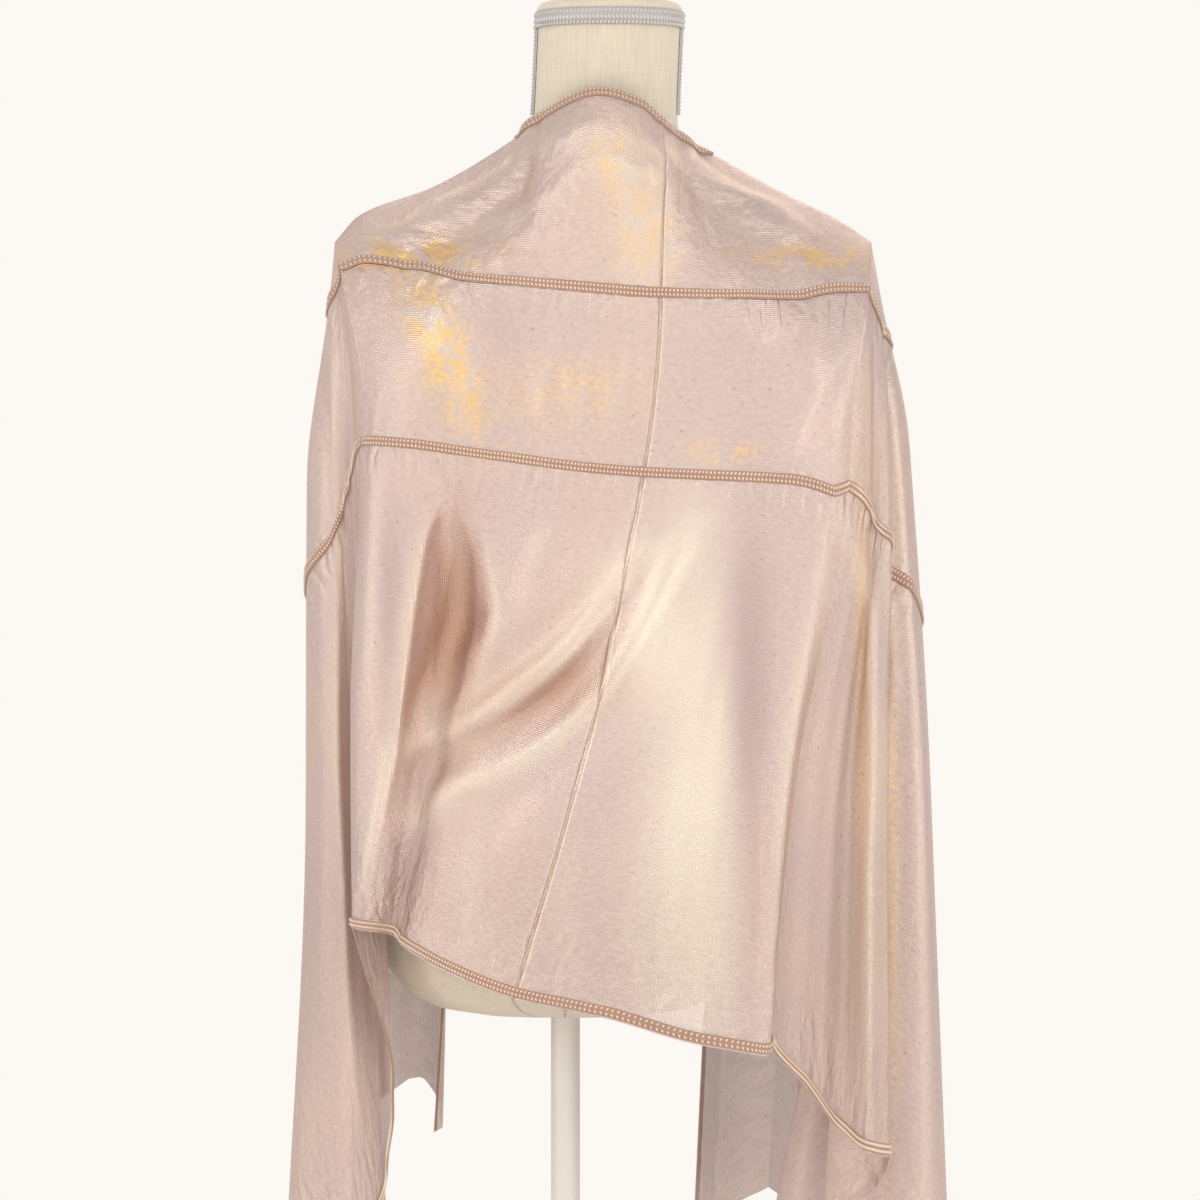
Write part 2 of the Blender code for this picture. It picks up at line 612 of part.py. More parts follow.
class Stretch:
    """One stretch of the cloth: a grid of columns, and of points down each column."""

    def __init__(self, surface, columns, tip=None, side=0):
        self.columns = np.array(columns)
        self.ends = np.array([depth_of_end(column) for column in columns])
        self.parts = (np.arange(CLOTH_ROWS + 1) / CLOTH_ROWS) ** ROW_POWER
        self.points = []
        self.outward = []
        for column, end in zip(self.columns, self.ends):
            depths = end * self.parts
            depths[0] = start_depth(column)
            across = np.full(len(depths), column)
            if tip is not None and abs(column - tip) < 1e-9:
                depths[0] = TIP_START
            if tip is not None and not is_front(column):
                widening = TIP_EXTRA_GAP * np.clip(1 - depths / TIP_GAP_REACH, 0, 1)
                least = FAN_REACH * np.arctan((STRETCH_GAP + widening) / depths)
                across = tip + side * np.hypot(column - tip, least)
            points = surface.at(across, depths)
            outward = surface.at(across, depths, 1.0) - points
            if tip is not None and not is_front(column):
                start = surface.start_of(column, 0.0)
                points[0] = start + (points[1] - start) * depths[0] / depths[1]
                outward[0] = outward[1]
            if depths[0] < TIP_START and on_shoulder(np.array([column]))[0]:
                points[0] = surface.start_of(column, 0.0) + (points[1] - points[0]) * depths[0] / depths[1]
                outward[0] = over_shoulder(carrying_key([column]))[0]
            self.points.append(points)
            self.outward.append(outward)
        self.points = np.array(self.points)
        self.outward = np.array(self.outward)

    def at(self, column, depth, lift):
        """Point over the flat faces of the stretch, lifted off its middle."""
        cell = int(np.clip(np.searchsorted(self.columns, column) - 1, 0, len(self.columns) - 2))
        part = (column - self.columns[cell]) / (self.columns[cell + 1] - self.columns[cell])
        end = self.ends[cell] * (1 - part) + self.ends[cell + 1] * part
        row = np.interp(depth / end, self.parts, np.arange(CLOTH_ROWS + 1))
        top = int(min(np.floor(row), CLOTH_ROWS - 1))
        drop = row - top
        weights = ((cell, top, (1 - part) * (1 - drop)), (cell + 1, top, part * (1 - drop)),
                   (cell, top + 1, (1 - part) * drop), (cell + 1, top + 1, part * drop))
        point = sum(self.points[line, place] * weight for line, place, weight in weights)
        outward = sum(self.outward[line, place] * weight for line, place, weight in weights)
        return point + outward / np.linalg.norm(outward) * lift

    def crossing(self, column, depth):
        """The cell of the grid that a place lies in."""
        cell = int(np.searchsorted(self.columns, column))
        end = np.interp(column, self.columns, self.ends)
        row = np.interp(depth / end, self.parts, np.arange(CLOTH_ROWS + 1))
        return cell, int(row)

    def wall(self, name, material, collection):
        """Closed wall of the stretch."""
        outer = self.points + self.outward * (WALL / 2)
        inner = self.points - self.outward * (WALL / 2)
        return wall_object(name, outer, inner, material, collection)


def place_on_cloth(along, across):
    """Column and depth of a point given by its two cloth coordinates."""
    side, tip, tip_across = 1, RIGHT_TIP_ALONG, RIGHT_TIP_ACROSS
    if along < 0:
        side, tip, tip_across = -1, -LEFT_TIP_ALONG, LEFT_TIP_ACROSS
    beyond = abs(along) - tip
    if beyond > 0 and across > tip_across:
        angle = float(np.arctan2(beyond, across - tip_across))
        return side * (tip + angle * FAN_REACH), float(np.hypot(beyond, across - tip_across))
    if across < tip_across:
        start = float(carrying_along(side, max(across, 0.0)))
        if abs(along) > start:
            edge = LAST_COLUMN if side > 0 else FIRST_COLUMN
            return edge - side * across, abs(along) - start
    return along, across - float(carrying_across(along))


def braid_sections(stretches, across, gap):
    """Sections of a braid: the places of its two edges, and its gap to the cloth.

    Across the back and the near part of each fan they lie on the cloth's own columns. Further
    round, where the braid runs almost straight down the columns, they lie square to the braid.
    """
    low, high = across - BRAID_WIDTH / 2, across + BRAID_WIDTH / 2
    turn = (STEEP_ANGLE - 1e-6) * FAN_REACH
    sections = []
    for stretch in stretches.values():
        for column in stretch.columns:
            fan = fan_angle(column)
            fits = depth_of_end(column) > depth_at(column, high)
            over = fan is not None and (across < fan[1] or fan[2] > STEEP_ANGLE or fan[2] < NEAR_ANGLE)
            hidden = fan is None and (is_front(column) or carrying_across(column) > low - GAP)
            if fits and not over and not hidden:
                edges = [(column, depth_at(column, edge)) for edge in (low, high)]
                corner = low < GAP + EDGE_MARGIN and (column > RIGHT_CROSSING - CORNER_REACH
                                                      or column < LEFT_CROSSING + CORNER_REACH)
                angle = 0.0 if fan is None else fan[2]
                steep = np.clip((angle - SLOPING_ANGLE) / (STEEP_ANGLE - SLOPING_ANGLE), 0, 1)
                extra = CORNER_EXTRA_GAP if corner else STEEP_EXTRA_GAP * steep
                sections.append((column, edges, gap + extra))
    reach = STOLE_LENGTH / 2 - EDGE_MARGIN
    previous = None
    for along in np.arange(-reach, reach + BRAID_STEP / 2, BRAID_STEP):
        column, depth = place_on_cloth(along, across)
        steep = is_front(column) or column > RIGHT_TIP_ALONG + turn or column < LEFT_TIP_ALONG - turn
        if not steep or (abs(along) < abs(carrying_key([column])[0]) + BRAID_WIDTH and is_front(column)):
            previous = None
            continue
        cell = stretches[stretch_of(column)].crossing(column, depth)
        if cell != previous or along > reach - BRAID_STEP:
            edges = [place_on_cloth(along, edge) for edge in (low, high)]
            sections.append((column, edges, gap + STEEP_EXTRA_GAP))
        previous = cell
    return sections


def stretch_of(column):
    """Which stretch of cloth a column belongs to."""
    if column > RIGHT_TIP_ALONG:
        return "right"
    return "left" if column < LEFT_TIP_ALONG else "back"


def braid_object(name, stretches, across, gap, material, collection):
    """Flat braid that lies over a line along the cloth."""
    sections = braid_sections(stretches, across, gap)
    sections.sort(key=lambda section: (section[0], section[1][0][1] * np.sign(section[0])))
    grids = []
    for face in (BRAID_THICKNESS, 0.0):
        grid = []
        for _column, edges, lift in sections:
            lift = WALL / 2 + lift + face
            grid.append([stretches[stretch_of(column)].at(column, depth, lift)
                         for column, depth in edges])
        grids.append(np.array(grid))
    return wall_object(name, grids[0], grids[1], material, collection)


def form_ring(height, grow=0.0, sides=FORM_SIDES):
    """Ring of points round the form at one height."""
    centre, width, behind, before = (float(value[0]) if np.ndim(value) else float(value)
                                     for value in form_section([height]))
    ring = []
    for side in range(sides):
        angle = 2 * pi * side / sides
        turn_x, turn_y = cos(angle), sin(angle)
        depth = (before if turn_y > 0 else behind) + grow
        reach = (abs(turn_x) ** FORM_POWER + abs(turn_y) ** FORM_POWER) ** (-1 / FORM_POWER)
        ring.append((centre + (width + grow) * turn_x * reach, depth * turn_y * reach, height))
    return ring


def loft_object(name, rings, material, collection):
    """Closed body through rings of points, each with the same number of points."""
    mesh = bpy.data.meshes.new(name)
    body = bmesh.new()
    loops = [[body.verts.new(point) for point in ring] for ring in rings]
    for lower, upper in zip(loops[:-1], loops[1:]):
        for place in range(len(lower)):
            following = (place + 1) % len(lower)
            body.faces.new((lower[place], lower[following], upper[following], upper[place]))
    body.faces.new(list(reversed(loops[0])))
    body.faces.new(loops[-1])
    bmesh.ops.recalc_face_normals(body, faces=body.faces)
    body.to_mesh(mesh)
    body.free()
    mesh.materials.append(material)
    mesh.shade_smooth()
    mesh.set_sharp_from_angle(angle=radians(50))
    result = bpy.data.objects.new(name, mesh)
    collection.objects.link(result)
    return result


def form_heights():
    """Heights of the form's rings: its named sections and the middles of the long stretches."""
    named = [row[1] for row in FORM_SECTIONS]
    heights = []
    for low, high in zip(named[:-1], named[1:]):
        heights.append(low)
        if high - low > 0.04:
            heights.append((low + high) / 2)
    return heights + [named[-1]]


def ring_braid(name, height, material, collection):
    """Braid that runs round the top of the neck."""
    low, high = height - BRAID_WIDTH / 2, height + BRAID_WIDTH / 2
    inner = GAP
    outer = GAP + BRAID_THICKNESS
    outside = np.array([form_ring(low, outer), form_ring(high, outer)])
    inside = np.array([form_ring(low, inner), form_ring(high, inner)])
    mesh = bpy.data.meshes.new(name)
    body = bmesh.new()
    loops = [[body.verts.new(point) for point in ring]
             for ring in (outside[0], outside[1], inside[1], inside[0])]
    for lower, upper in zip(loops, loops[1:] + loops[:1]):
        for place in range(len(lower)):
            following = (place + 1) % len(lower)
            body.faces.new((lower[place], lower[following], upper[following], upper[place]))
    bmesh.ops.recalc_face_normals(body, faces=body.faces)
    body.to_mesh(mesh)
    body.free()
    mesh.materials.append(material)
    mesh.shade_smooth()
    mesh.set_sharp_from_angle(angle=radians(40))
    result = bpy.data.objects.new(name, mesh)
    collection.objects.link(result)
    return result


def neck_side_braid(name, side, low, high, material, collection):
    """Braid that runs down one side of the neck."""
    heights = np.linspace(high, low, 5)
    half_turn = BRAID_WIDTH / 2 / NECK_RADIUS
    grids = []
    for grow in (FORM_BRAID_GAP + BRAID_THICKNESS, FORM_BRAID_GAP):
        grid = []
        for height in heights:
            centre, width, _behind, _before = form_section([height])
            line = []
            for turn in (-half_turn, 0.0, half_turn):
                reach = (cos(turn) ** FORM_POWER + abs(sin(turn)) ** FORM_POWER) ** (-1 / FORM_POWER)
                line.append((float(centre[0]) + side * (float(width[0]) + grow) * cos(turn) * reach,
                             (NECK_RADIUS + grow) * sin(turn) * reach, height))
            grid.append(line)
        grids.append(np.array(grid))
    return wall_object(name, grids[0], grids[1], material, collection)


def turned_object(name, profile, place, material, collection):
    """Body turned round a vertical axis from a profile that runs down its outer side."""
    mesh = bpy.data.meshes.new(name)
    edges = [(index, index + 1) for index in range(len(profile) - 1)]
    mesh.from_pydata([(radius, 0.0, height) for radius, height in profile], edges, [])
    result = bpy.data.objects.new(name, mesh)
    result.location = place
    mesh.materials.append(material)
    screw = result.modifiers.new("Turn", "SCREW")
    screw.axis = "Z"
    screw.steps = TURNED_SIDES
    screw.render_steps = TURNED_SIDES
    screw.use_merge_vertices = True
    screw.merge_threshold = 0.00001
    collection.objects.link(result)
    return result


def material(name, colour, roughness, metallic=0.0):
    """Plain material of one finish."""
    result = bpy.data.materials.new(name)
    result.use_nodes = True
    shader = result.node_tree.nodes["Principled BSDF"]
    shader.inputs["Base Color"].default_value = (*colour, 1.0)
    shader.inputs["Roughness"].default_value = roughness
    shader.inputs["Metallic"].default_value = metallic
    result.diffuse_color = (*colour, 1.0)
    return result


def clear_scene():
    """Removes whatever the file holds."""
    for item in list(bpy.data.objects):
        bpy.data.objects.remove(item, do_unlink=True)


def make_stole(collection):
    """The stole's cloth, in the three stretches that hang apart, and its four braids."""
    cloth = material("stole_cloth", (0.66, 0.46, 0.38), 0.38, 0.35)
    braid = material("stole_braid", (0.42, 0.25, 0.19), 0.55, 0.1)
    surface = ClothSurface()
    columns = shared_columns()
    edge = 1e-6
    back = columns[(columns > LEFT_TIP_ALONG - edge) & (columns < RIGHT_TIP_ALONG + edge)]
    stretches = {
        "back": Stretch(surface, back),
        "left": Stretch(surface, columns[columns < LEFT_TIP_ALONG + edge], LEFT_TIP_ALONG, -1),
        "right": Stretch(surface, columns[columns > RIGHT_TIP_ALONG - edge], RIGHT_TIP_ALONG, 1),
    }
    stretches["back"].wall("stole_back", cloth, collection)
    stretches["left"].wall("stole_left_drape", cloth, collection)
    stretches["right"].wall("stole_right_drape", cloth, collection)
    hem_line = STOLE_WIDTH - EDGE_MARGIN - BRAID_WIDTH / 2
    neck_line = EDGE_MARGIN + BRAID_WIDTH / 2
    for name, across, gap in (("braid_neck_edge", neck_line, NECK_BRAID_GAP),
                              ("braid_upper", UPPER_BRAID, BRAID_GAP),
                              ("braid_lower", LOWER_BRAID, BRAID_GAP),
                              ("braid_hem", hem_line, BRAID_GAP)):
        braid_object(name, stretches, across, gap, braid, collection)


def make_form(collection):
    """The padded form, its cap and its braids."""
    linen = material("form_cover", (0.70, 0.61, 0.46), 0.85)
    gimp = material("form_braid", (0.66, 0.65, 0.62), 0.6)
    loft_object("form_torso", [form_ring(height) for height in form_heights()], linen, collection)
    cap_base = FORM_TOP + GAP
    cap_rings = []
    for size, height in CAP_PROFILE:
        ring = np.array(form_ring(FORM_TOP, CAP_OVERHANG))
        centre = ring.mean(axis=0)
        ring = centre + (ring - centre) * size
        ring[:, 2] = cap_base + CAP_HEIGHT * height
        cap_rings.append([tuple(point) for point in ring.tolist()])
    loft_object("form_neck_cap", cap_rings, linen, collection)
    ring_braid("form_neck_ring", NECK_RING_HEIGHT, gimp, collection)
    side_top = NECK_RING_HEIGHT - BRAID_WIDTH / 2 - GAP
    neck_side_braid("form_side_braid_left", -1, SIDE_BRAID_FOOT, side_top, gimp, collection)
    neck_side_braid("form_side_braid_right", 1, SIDE_BRAID_FOOT, side_top, gimp, collection)


def make_stand(collection):
    """The pole and the round base."""
    paint = material("stand_paint", (0.86, 0.84, 0.80), 0.4)
    pole_foot = BASE_HEIGHT + GAP
    pole_head = FORM_BOTTOM - GAP
    turned_object("stand_pole", ((0.0, pole_head), (POLE_RADIUS, pole_head), (POLE_RADIUS, pole_foot),
                                 (0.0, pole_foot)), (0, 0, 0), paint, collection)
    turned_object("stand_base", ((0.0, BASE_HEIGHT), (HUB_RADIUS, BASE_HEIGHT),
                                 (HUB_SLOPE_RADIUS, BASE_HEIGHT - HUB_SLOPE),
                                 (BASE_RADIUS - BASE_BEVEL, BASE_EDGE), (BASE_RADIUS, BASE_EDGE / 2),
                                 (BASE_RADIUS, 0.0), (0.0, 0.0)), (0, 0, 0), paint, collection)


def main():
    clear_scene()
    collection = bpy.data.collections.new("Evening stole on a dress form")
    bpy.context.scene.collection.children.link(collection)
    make_stole(collection)
    make_form(collection)
    make_stand(collection)


main()
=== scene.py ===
"""Evening stole draped over a dress form: the finished look, laid out as a Blender add-on.

The back of the form faces -Y and +Z is up. The stole is one rectangle of sheer cloth with four
braids. A point of it has two cloth coordinates: along, measured from its pressed centre crease,
and across, measured down from its neck edge. It is carried by a line that runs up one shoulder,
round the nape and down the other. From that line hang the columns of the cloth, and they fan out
round the two shoulder tips.
"""
import bpy
import bmesh
import numpy as np
from bpy.props import FloatProperty, FloatVectorProperty, IntProperty, PointerProperty
from math import cos, pi, radians, sin
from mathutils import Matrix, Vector


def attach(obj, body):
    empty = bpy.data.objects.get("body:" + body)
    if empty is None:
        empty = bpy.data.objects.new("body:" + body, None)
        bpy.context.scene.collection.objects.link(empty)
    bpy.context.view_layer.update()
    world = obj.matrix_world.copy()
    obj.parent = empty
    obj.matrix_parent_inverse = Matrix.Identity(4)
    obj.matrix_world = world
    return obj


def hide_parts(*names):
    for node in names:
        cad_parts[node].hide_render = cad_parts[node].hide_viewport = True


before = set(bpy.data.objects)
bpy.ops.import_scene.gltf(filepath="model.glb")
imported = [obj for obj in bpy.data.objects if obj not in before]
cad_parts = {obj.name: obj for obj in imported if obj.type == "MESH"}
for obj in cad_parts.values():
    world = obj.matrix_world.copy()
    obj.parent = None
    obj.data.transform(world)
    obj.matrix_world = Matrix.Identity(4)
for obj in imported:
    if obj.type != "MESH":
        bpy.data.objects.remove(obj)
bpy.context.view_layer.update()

bl_info = {
    "name": "Evening stole on a dress form",
    "version": (1, 0, 0),
    "blender": (4, 5, 0),
    "location": "3D View > Sidebar > Stole",
    "description": "Builds a sheer evening stole with braid trims, draped over a dress form",
    "category": "Add Mesh",
}

# Stage: camera sensor in millimetres, the upright plane that the picture's width is measured in,
# the point that the lights face, and the floor
SENSOR_WIDTH = 36.0
CLOTH_PLANE = -0.06
LIGHTS_AIM = (0.02, 0.0, 0.75)
FLOOR_RADIUS = 3.1
FLOOR_SIDES = 96
FLOOR_DROP = 0.0005

# Cloth and braid sizes, the spacing of its threads and puckers, and how strongly a fold's height paints
# highlight on its crest and shade in its hollow
STOLE_LENGTH = 1.90
STOLE_WIDTH = 0.70
UPPER_BRAID = 0.150
LOWER_BRAID = 0.285
GAP = 0.0003
HALF_BRAID = 0.0039
STITCH_INNER = 0.13
STITCH_OUTER = 0.80
STITCH_LIFT = 0.0015
LIFT_STEP = 0.0010
EDGE_MARGIN = 0.0012
THREAD_SPACING = 0.0016
PUCKER_SPACING = 0.013
FOLD_PAINTED_LIGHT = 250
WELD_DISTANCE = 0.00002

# Where the two shoulder tips lie on the cloth
LEFT_TIP_ALONG = -0.230
LEFT_TIP_ACROSS = 0.120
RIGHT_TIP_ALONG = 0.165
RIGHT_TIP_ACROSS = 0.100

# Where the neck edge crosses the two shoulder lines
LEFT_CROSSING = -0.120
RIGHT_CROSSING = 0.050

# Cloth distance that one radian of the fan round a shoulder tip counts as
FAN_REACH = 0.45
QUARTER = pi / 2

# Depth below the carrying line of the three places in the table of folds
CHEST_DEPTH = 0.15
WAIST_DEPTH = 0.40
LOW_DEPTH = 0.75
SHOULDER_ROUNDING = 0.17
HEIGHT_FADE = radians(16)
MOST_HEIGHT_SHIFT = 0.20
TRAVEL_POWER = 8
DEPTH_STEP = 0.005
COLUMN_STEP = 0.0025
DEEPEST = 1.00
LINE_STEP = 0.002
DRAG_START = 0.1
FOLD_ROUNDING = 0.012
TIP_ROUNDING = 0.080
TIP_REACH = 0.150
SHOULDER_FOLD_ROUNDING = 0.045

# Sizes of the form, its cap and its gimp
FORM_BOTTOM = 0.440
FORM_TOP = 1.196
FORM_LEAN = 0.0335
FORM_POWER = 2.2
NECK_RADIUS = 0.053
NECK_RING_HEIGHT = 1.1905
SIDE_BRAID_FOOT = 1.122
CLOTH_CLEARANCE = 0.0013
SHOULDER_CLEARANCE = 0.0065
CLEARANCE_LOW = 0.985
CLEARANCE_HIGH = 1.030
CAP_HEIGHT = 0.012
CAP_OVERHANG = 0.001
UNDERSIDE_RINGS = (FORM_BOTTOM + 0.003, 0.446, 0.452)
FAR_FROM_SEAMS = 5.0
SIDE_GIMP_TURN = radians(9)
SIDE_GIMP_STITCHES = 23
RING_GIMP_STITCHES = 121
GIMP_RADIUS = 0.00105
GIMP_LIFT = 0.0020
RING_HEAD_LIFT = 0.0024
SIDE_STITCH_RISE = 0.0016
SIDE_INNER = 0.10
SIDE_OUTER = 0.85

# The line that carries the cloth: place, along, across, x, y, z
CARRYING_LINE = (
    ("left tip", -0.230, 0.120, -0.1750, 0.000, 1.0260),
    ("left shoulder end", -0.213, 0.101, -0.1560, 0.001, 1.0465),
    ("left mid shoulder", -0.172, 0.056, -0.0980, 0.002, 1.0690),
    ("left crossing", -0.120, 0.000, -0.0300, 0.001, 1.1110),
    ("left nape", -0.095, 0.000, -0.0160, -0.038, 1.1230),
    ("nape", -0.050, 0.000, 0.0260, -0.065, 1.1390),
    ("right nape", -0.020, 0.000, 0.0560, -0.061, 1.1310),
    ("crease", 0.000, 0.000, 0.0730, -0.051, 1.1170),
    ("right crossing", 0.050, 0.000, 0.1030, 0.001, 1.0980),
    ("right mid shoulder", 0.108, 0.050, 0.1680, 0.002, 1.0620),
    ("right shoulder end", 0.140, 0.078, 0.2050, 0.001, 1.0440),
    ("right tip", 0.165, 0.100, 0.2320, 0.000, 1.0260),
)

# Folds of the cloth, each followed down its column: name, zone, key, then x and y in
# millimetres at the chest, the waist and low down. The key is the cloth coordinate along in the
# back zone, the angle in degrees in a fan, and the cloth coordinate across in a front zone.
FOLDS = (
    ("left front edge", "left front", 0.000, -50, 112, -76, 128, -98, 122),
    ("left front roll", "left front", 0.060, -74, 110, -92, 141, -96, 142),
    ("left breast fold", "left fan", 90, -98, 101, -116, 148, -122, 152),
    ("left breast hollow", "left fan", 87, -116, 94, -138, 134, -148, 136),
    ("left breast turn", "left fan", 84, -130, 86, -150, 116, -164, 114),
    ("left inner pleat", "left fan", 80, -144, 72, -146, 90, -140, 90),
    ("left inner turn", "left fan", 77, -154, 62, -150, 74, -138, 76),
    ("left side crest", "left fan", 70, -172, 54, -182, 66, -190, 72),
    ("left side turn", "left fan", 66, -176, 42, -184, 47, -192, 52),
    ("left side pleat", "left fan", 58, -172, 26, -158, 28, -134, 34),
    ("left side under", "left fan", 54, -178, 16, -162, 14, -140, 18),
    ("left outline front", "left fan", 48, -194, 2, -193, 4, -208, 8),
    ("left outline", "left fan", 43, -196, -20, -197, -20, -213, -16),
    ("left arm ridge", "left fan", 34, -176, -47, -171, -62, -162, -62),
    ("left arm under", "left fan", 25, -166, -54, -150, -46, -128, -38),
    ("left gap", "left fan", 12, -159, -60, -140, -58, -118, -58),
    ("left gap wall", "left fan", 4, -155, -74, -150, -80, -132, -84),
    ("left back edge", "back", -0.230, -150, -88, -163, -102, -158, -108),
    ("left back roll", "back", -0.212, -136, -98, -152, -116, -160, -122),
    ("left ridge", "back", -0.186, -112, -104, -126, -128, -158, -132),
    ("left pocket", "back", -0.150, -78, -103, -88, -90, -143, -102),
    ("left torso", "back", -0.105, -32, -102, -55, -100, -128, -114),
    ("left of crease", "back", -0.055, 18, -104, -12, -104, -98, -120),
    ("crease", "back", 0.000, 71, -106, 38, -107, -52, -124),
    ("right of crease", "back", 0.055, 125, -103, 92, -110, 10, -127),
    ("right back", "back", 0.110, 174, -97, 140, -114, 86, -129),
    ("right ridge", "back", 0.148, 208, -90, 166, -120, 146, -134),
    ("right ridge under", "right fan", 2, 218, -84, 170, -104, 140, -114),
    ("right panel", "right fan", 9, 226, -80, 190, -98, 168, -104),
    ("right hollow", "right fan", 16, 232, -70, 210, -90, 200, -86),
    ("right gold ridge", "right fan", 23, 239, -68, 229, -104, 226, -110),
    ("right fold edge", "right fan", 30, 246, -52, 242, -82, 243, -86),
    ("right fold turn", "right fan", 33.5, 244, -40, 234, -62, 232, -62),
    ("right valley", "right fan", 37, 239, -31, 212, -46, 186, -44),
    ("right valley turn", "right fan", 39.5, 240, -24, 222, -34, 196, -30),
    ("right outer ridge", "right fan", 44.5, 250, -24, 266, -36, 273, -34),
    ("right outline", "right fan", 48.5, 262, -4, 279, -8, 294, -6),
    ("right outline front", "right fan", 52, 257, 14, 275, 16, 290, 18),
    ("right side pleat", "right fan", 59, 238, 28, 222, 32, 160, 36),
    ("right side turn", "right fan", 62, 234, 38, 218, 46, 156, 52),
    ("right side crest", "right fan", 70, 234, 52, 250, 64, 256, 70),
    ("right breast turn", "right fan", 74, 226, 62, 244, 80, 250, 88),
    ("right inner pleat", "right fan", 82, 196, 80, 206, 102, 196, 110),
    ("right breast fold", "right fan", 90, 176, 92, 178, 124, 160, 138),
    ("right front roll", "right front", 0.050, 148, 106, 146, 142, 124, 148),
    ("right front edge", "right front", 0.000, 118, 110, 122, 126, 106, 122),
)

# Heights at which some columns pass the two braids and the hem: name, zone, key, then the three
HEIGHTS = (
    ("left outline", "left fan", 43, 0.9740, 0.7740, 0.205),
    ("left arm ridge", "left fan", 34, 0.9830, 0.8010, 0.258),
    ("left arm under", "left fan", 25, 0.9920, 0.8300, 0.310),
    ("left gap", "left fan", 12, 1.0000, 0.8560, 0.395),
    ("left gap wall", "left fan", 4, 1.0040, 0.8690, 0.460),
    ("left back edge", "back", -0.230, 1.0060, 0.8730, 0.511),
    ("left ridge", "back", -0.186, 1.0040, 0.8705, 0.509),
    ("left pocket", "back", -0.150, 0.9955, 0.8660, 0.505),
    ("left torso", "back", -0.105, 0.9915, 0.8605, 0.494),
    ("left of crease", "back", -0.055, 0.9870, 0.8540, 0.477),
    ("crease", "back", 0.000, 0.9830, 0.8495, 0.459),
    ("right of crease", "back", 0.055, 0.9820, 0.8470, 0.446),
    ("right back", "back", 0.110, 0.9820, 0.8440, 0.424),
    ("right ridge", "back", 0.148, 0.9800, 0.8340, 0.417),
    ("right back edge", "back", 0.165, 0.9780, 0.8280, 0.424),
    ("right panel", "right fan", 9, 0.9730, 0.8210, 0.396),
    ("right hollow", "right fan", 16, 0.9700, 0.8140, 0.360),
    ("right gold ridge", "right fan", 23, 0.9660, 0.8060, 0.343),
    ("right fold edge", "right fan", 30, 0.9580, 0.7960, 0.338),
)

# Folds that run slantwise over the back: name, along and across of the start and the end,
# half width and height
DRAG_FOLDS = (
    ("upper drag", 0.010, 0.335, -0.150, 0.475, 0.020, 0.0070),
    ("lower drag", 0.050, 0.330, -0.120, 0.560, 0.024, 0.0080),
    ("hip drag", 0.060, 0.440, -0.060, 0.640, 0.026, 0.0060),
    ("shoulder blade drag", 0.130, 0.150, 0.105, 0.290, 0.016, 0.0050),
)

# Curve of the neck's cap: size against the neck, and height against the cap's height
CAP_CURVE = ((1.0, 0.0), (1.0, 0.35), (0.99, 0.55), (0.965, 0.72), (0.93, 0.84), (0.87, 0.93),
             (0.78, 1.0), (0.55, 1.0), (0.3, 1.0))

# Sections of the form: name, height, half width, depth behind and depth in front of its axis
FORM_SECTIONS = (
    ("underside", 0.440, 0.060, 0.045, 0.045),
    ("underside curve", 0.446, 0.096, 0.070, 0.066),
    ("bottom edge", 0.460, 0.122, 0.086, 0.082),
    ("lower hip", 0.484, 0.139, 0.097, 0.092),
    ("hip", 0.530, 0.146, 0.104, 0.097),
    ("upper hip", 0.590, 0.144, 0.101, 0.094),
    ("below waist", 0.645, 0.128, 0.086, 0.087),
    ("waist", 0.710, 0.105, 0.070, 0.080),
    ("above waist", 0.760, 0.112, 0.074, 0.086),
    ("ribs", 0.810, 0.134, 0.085, 0.099),
    ("bust", 0.870, 0.152, 0.094, 0.114),
    ("upper bust", 0.930, 0.164, 0.097, 0.104),
    ("armhole", 0.975, 0.177, 0.092, 0.084),
    ("shoulder end", 1.004, 0.184, 0.079, 0.064),
    ("shoulder turn", 1.024, 0.178, 0.066, 0.050),
    ("shoulder", 1.040, 0.158, 0.058, 0.042),
    ("mid shoulder", 1.055, 0.131, 0.054, 0.040),
    ("inner shoulder", 1.075, 0.090, 0.052, 0.042),
    ("neck root", 1.095, 0.064, 0.051, 0.044),
    ("neck base", 1.118, 0.0550, 0.050, 0.047),
    ("neck", 1.145, 0.0545, 0.052, 0.050),
    ("neck top", 1.196, 0.0545, 0.053, 0.053),
)

# Fine folds that repeat over a zone of columns: name, first and last column, spacing of the
# folds, height in millimetres, slant and start of the wave
RIPPLES = (
    ("left front pleats", -1.050, -0.930, 0.0370, 1.0, 4.0, 0.2),
    ("left fan pleats", -0.930, -0.600, 0.0370, 1.3, 5.0, 0.7),
    ("left fan swells", -0.930, -0.560, 0.0890, 2.2, -3.0, 0.1),
    ("left arm swells", -0.560, -0.300, 0.0570, 0.5, -4.0, 0.5),
    ("back left swells", -0.300, -0.020, 0.0710, 0.7, 6.0, 0.9),
    ("back right swells", 0.020, 0.230, 0.0630, 0.5, -7.0, 0.4),
    ("right tail swells", 0.220, 0.560, 0.0570, 0.6, -4.0, 0.8),
    ("right side pleats", 0.520, 0.870, 0.0390, 1.2, -5.0, 0.2),
    ("right side swells", 0.500, 0.870, 0.0910, 2.0, 3.0, 0.5),
    ("right front pleats", 0.870, 0.965, 0.0350, 1.0, 4.0, 0.1),
)

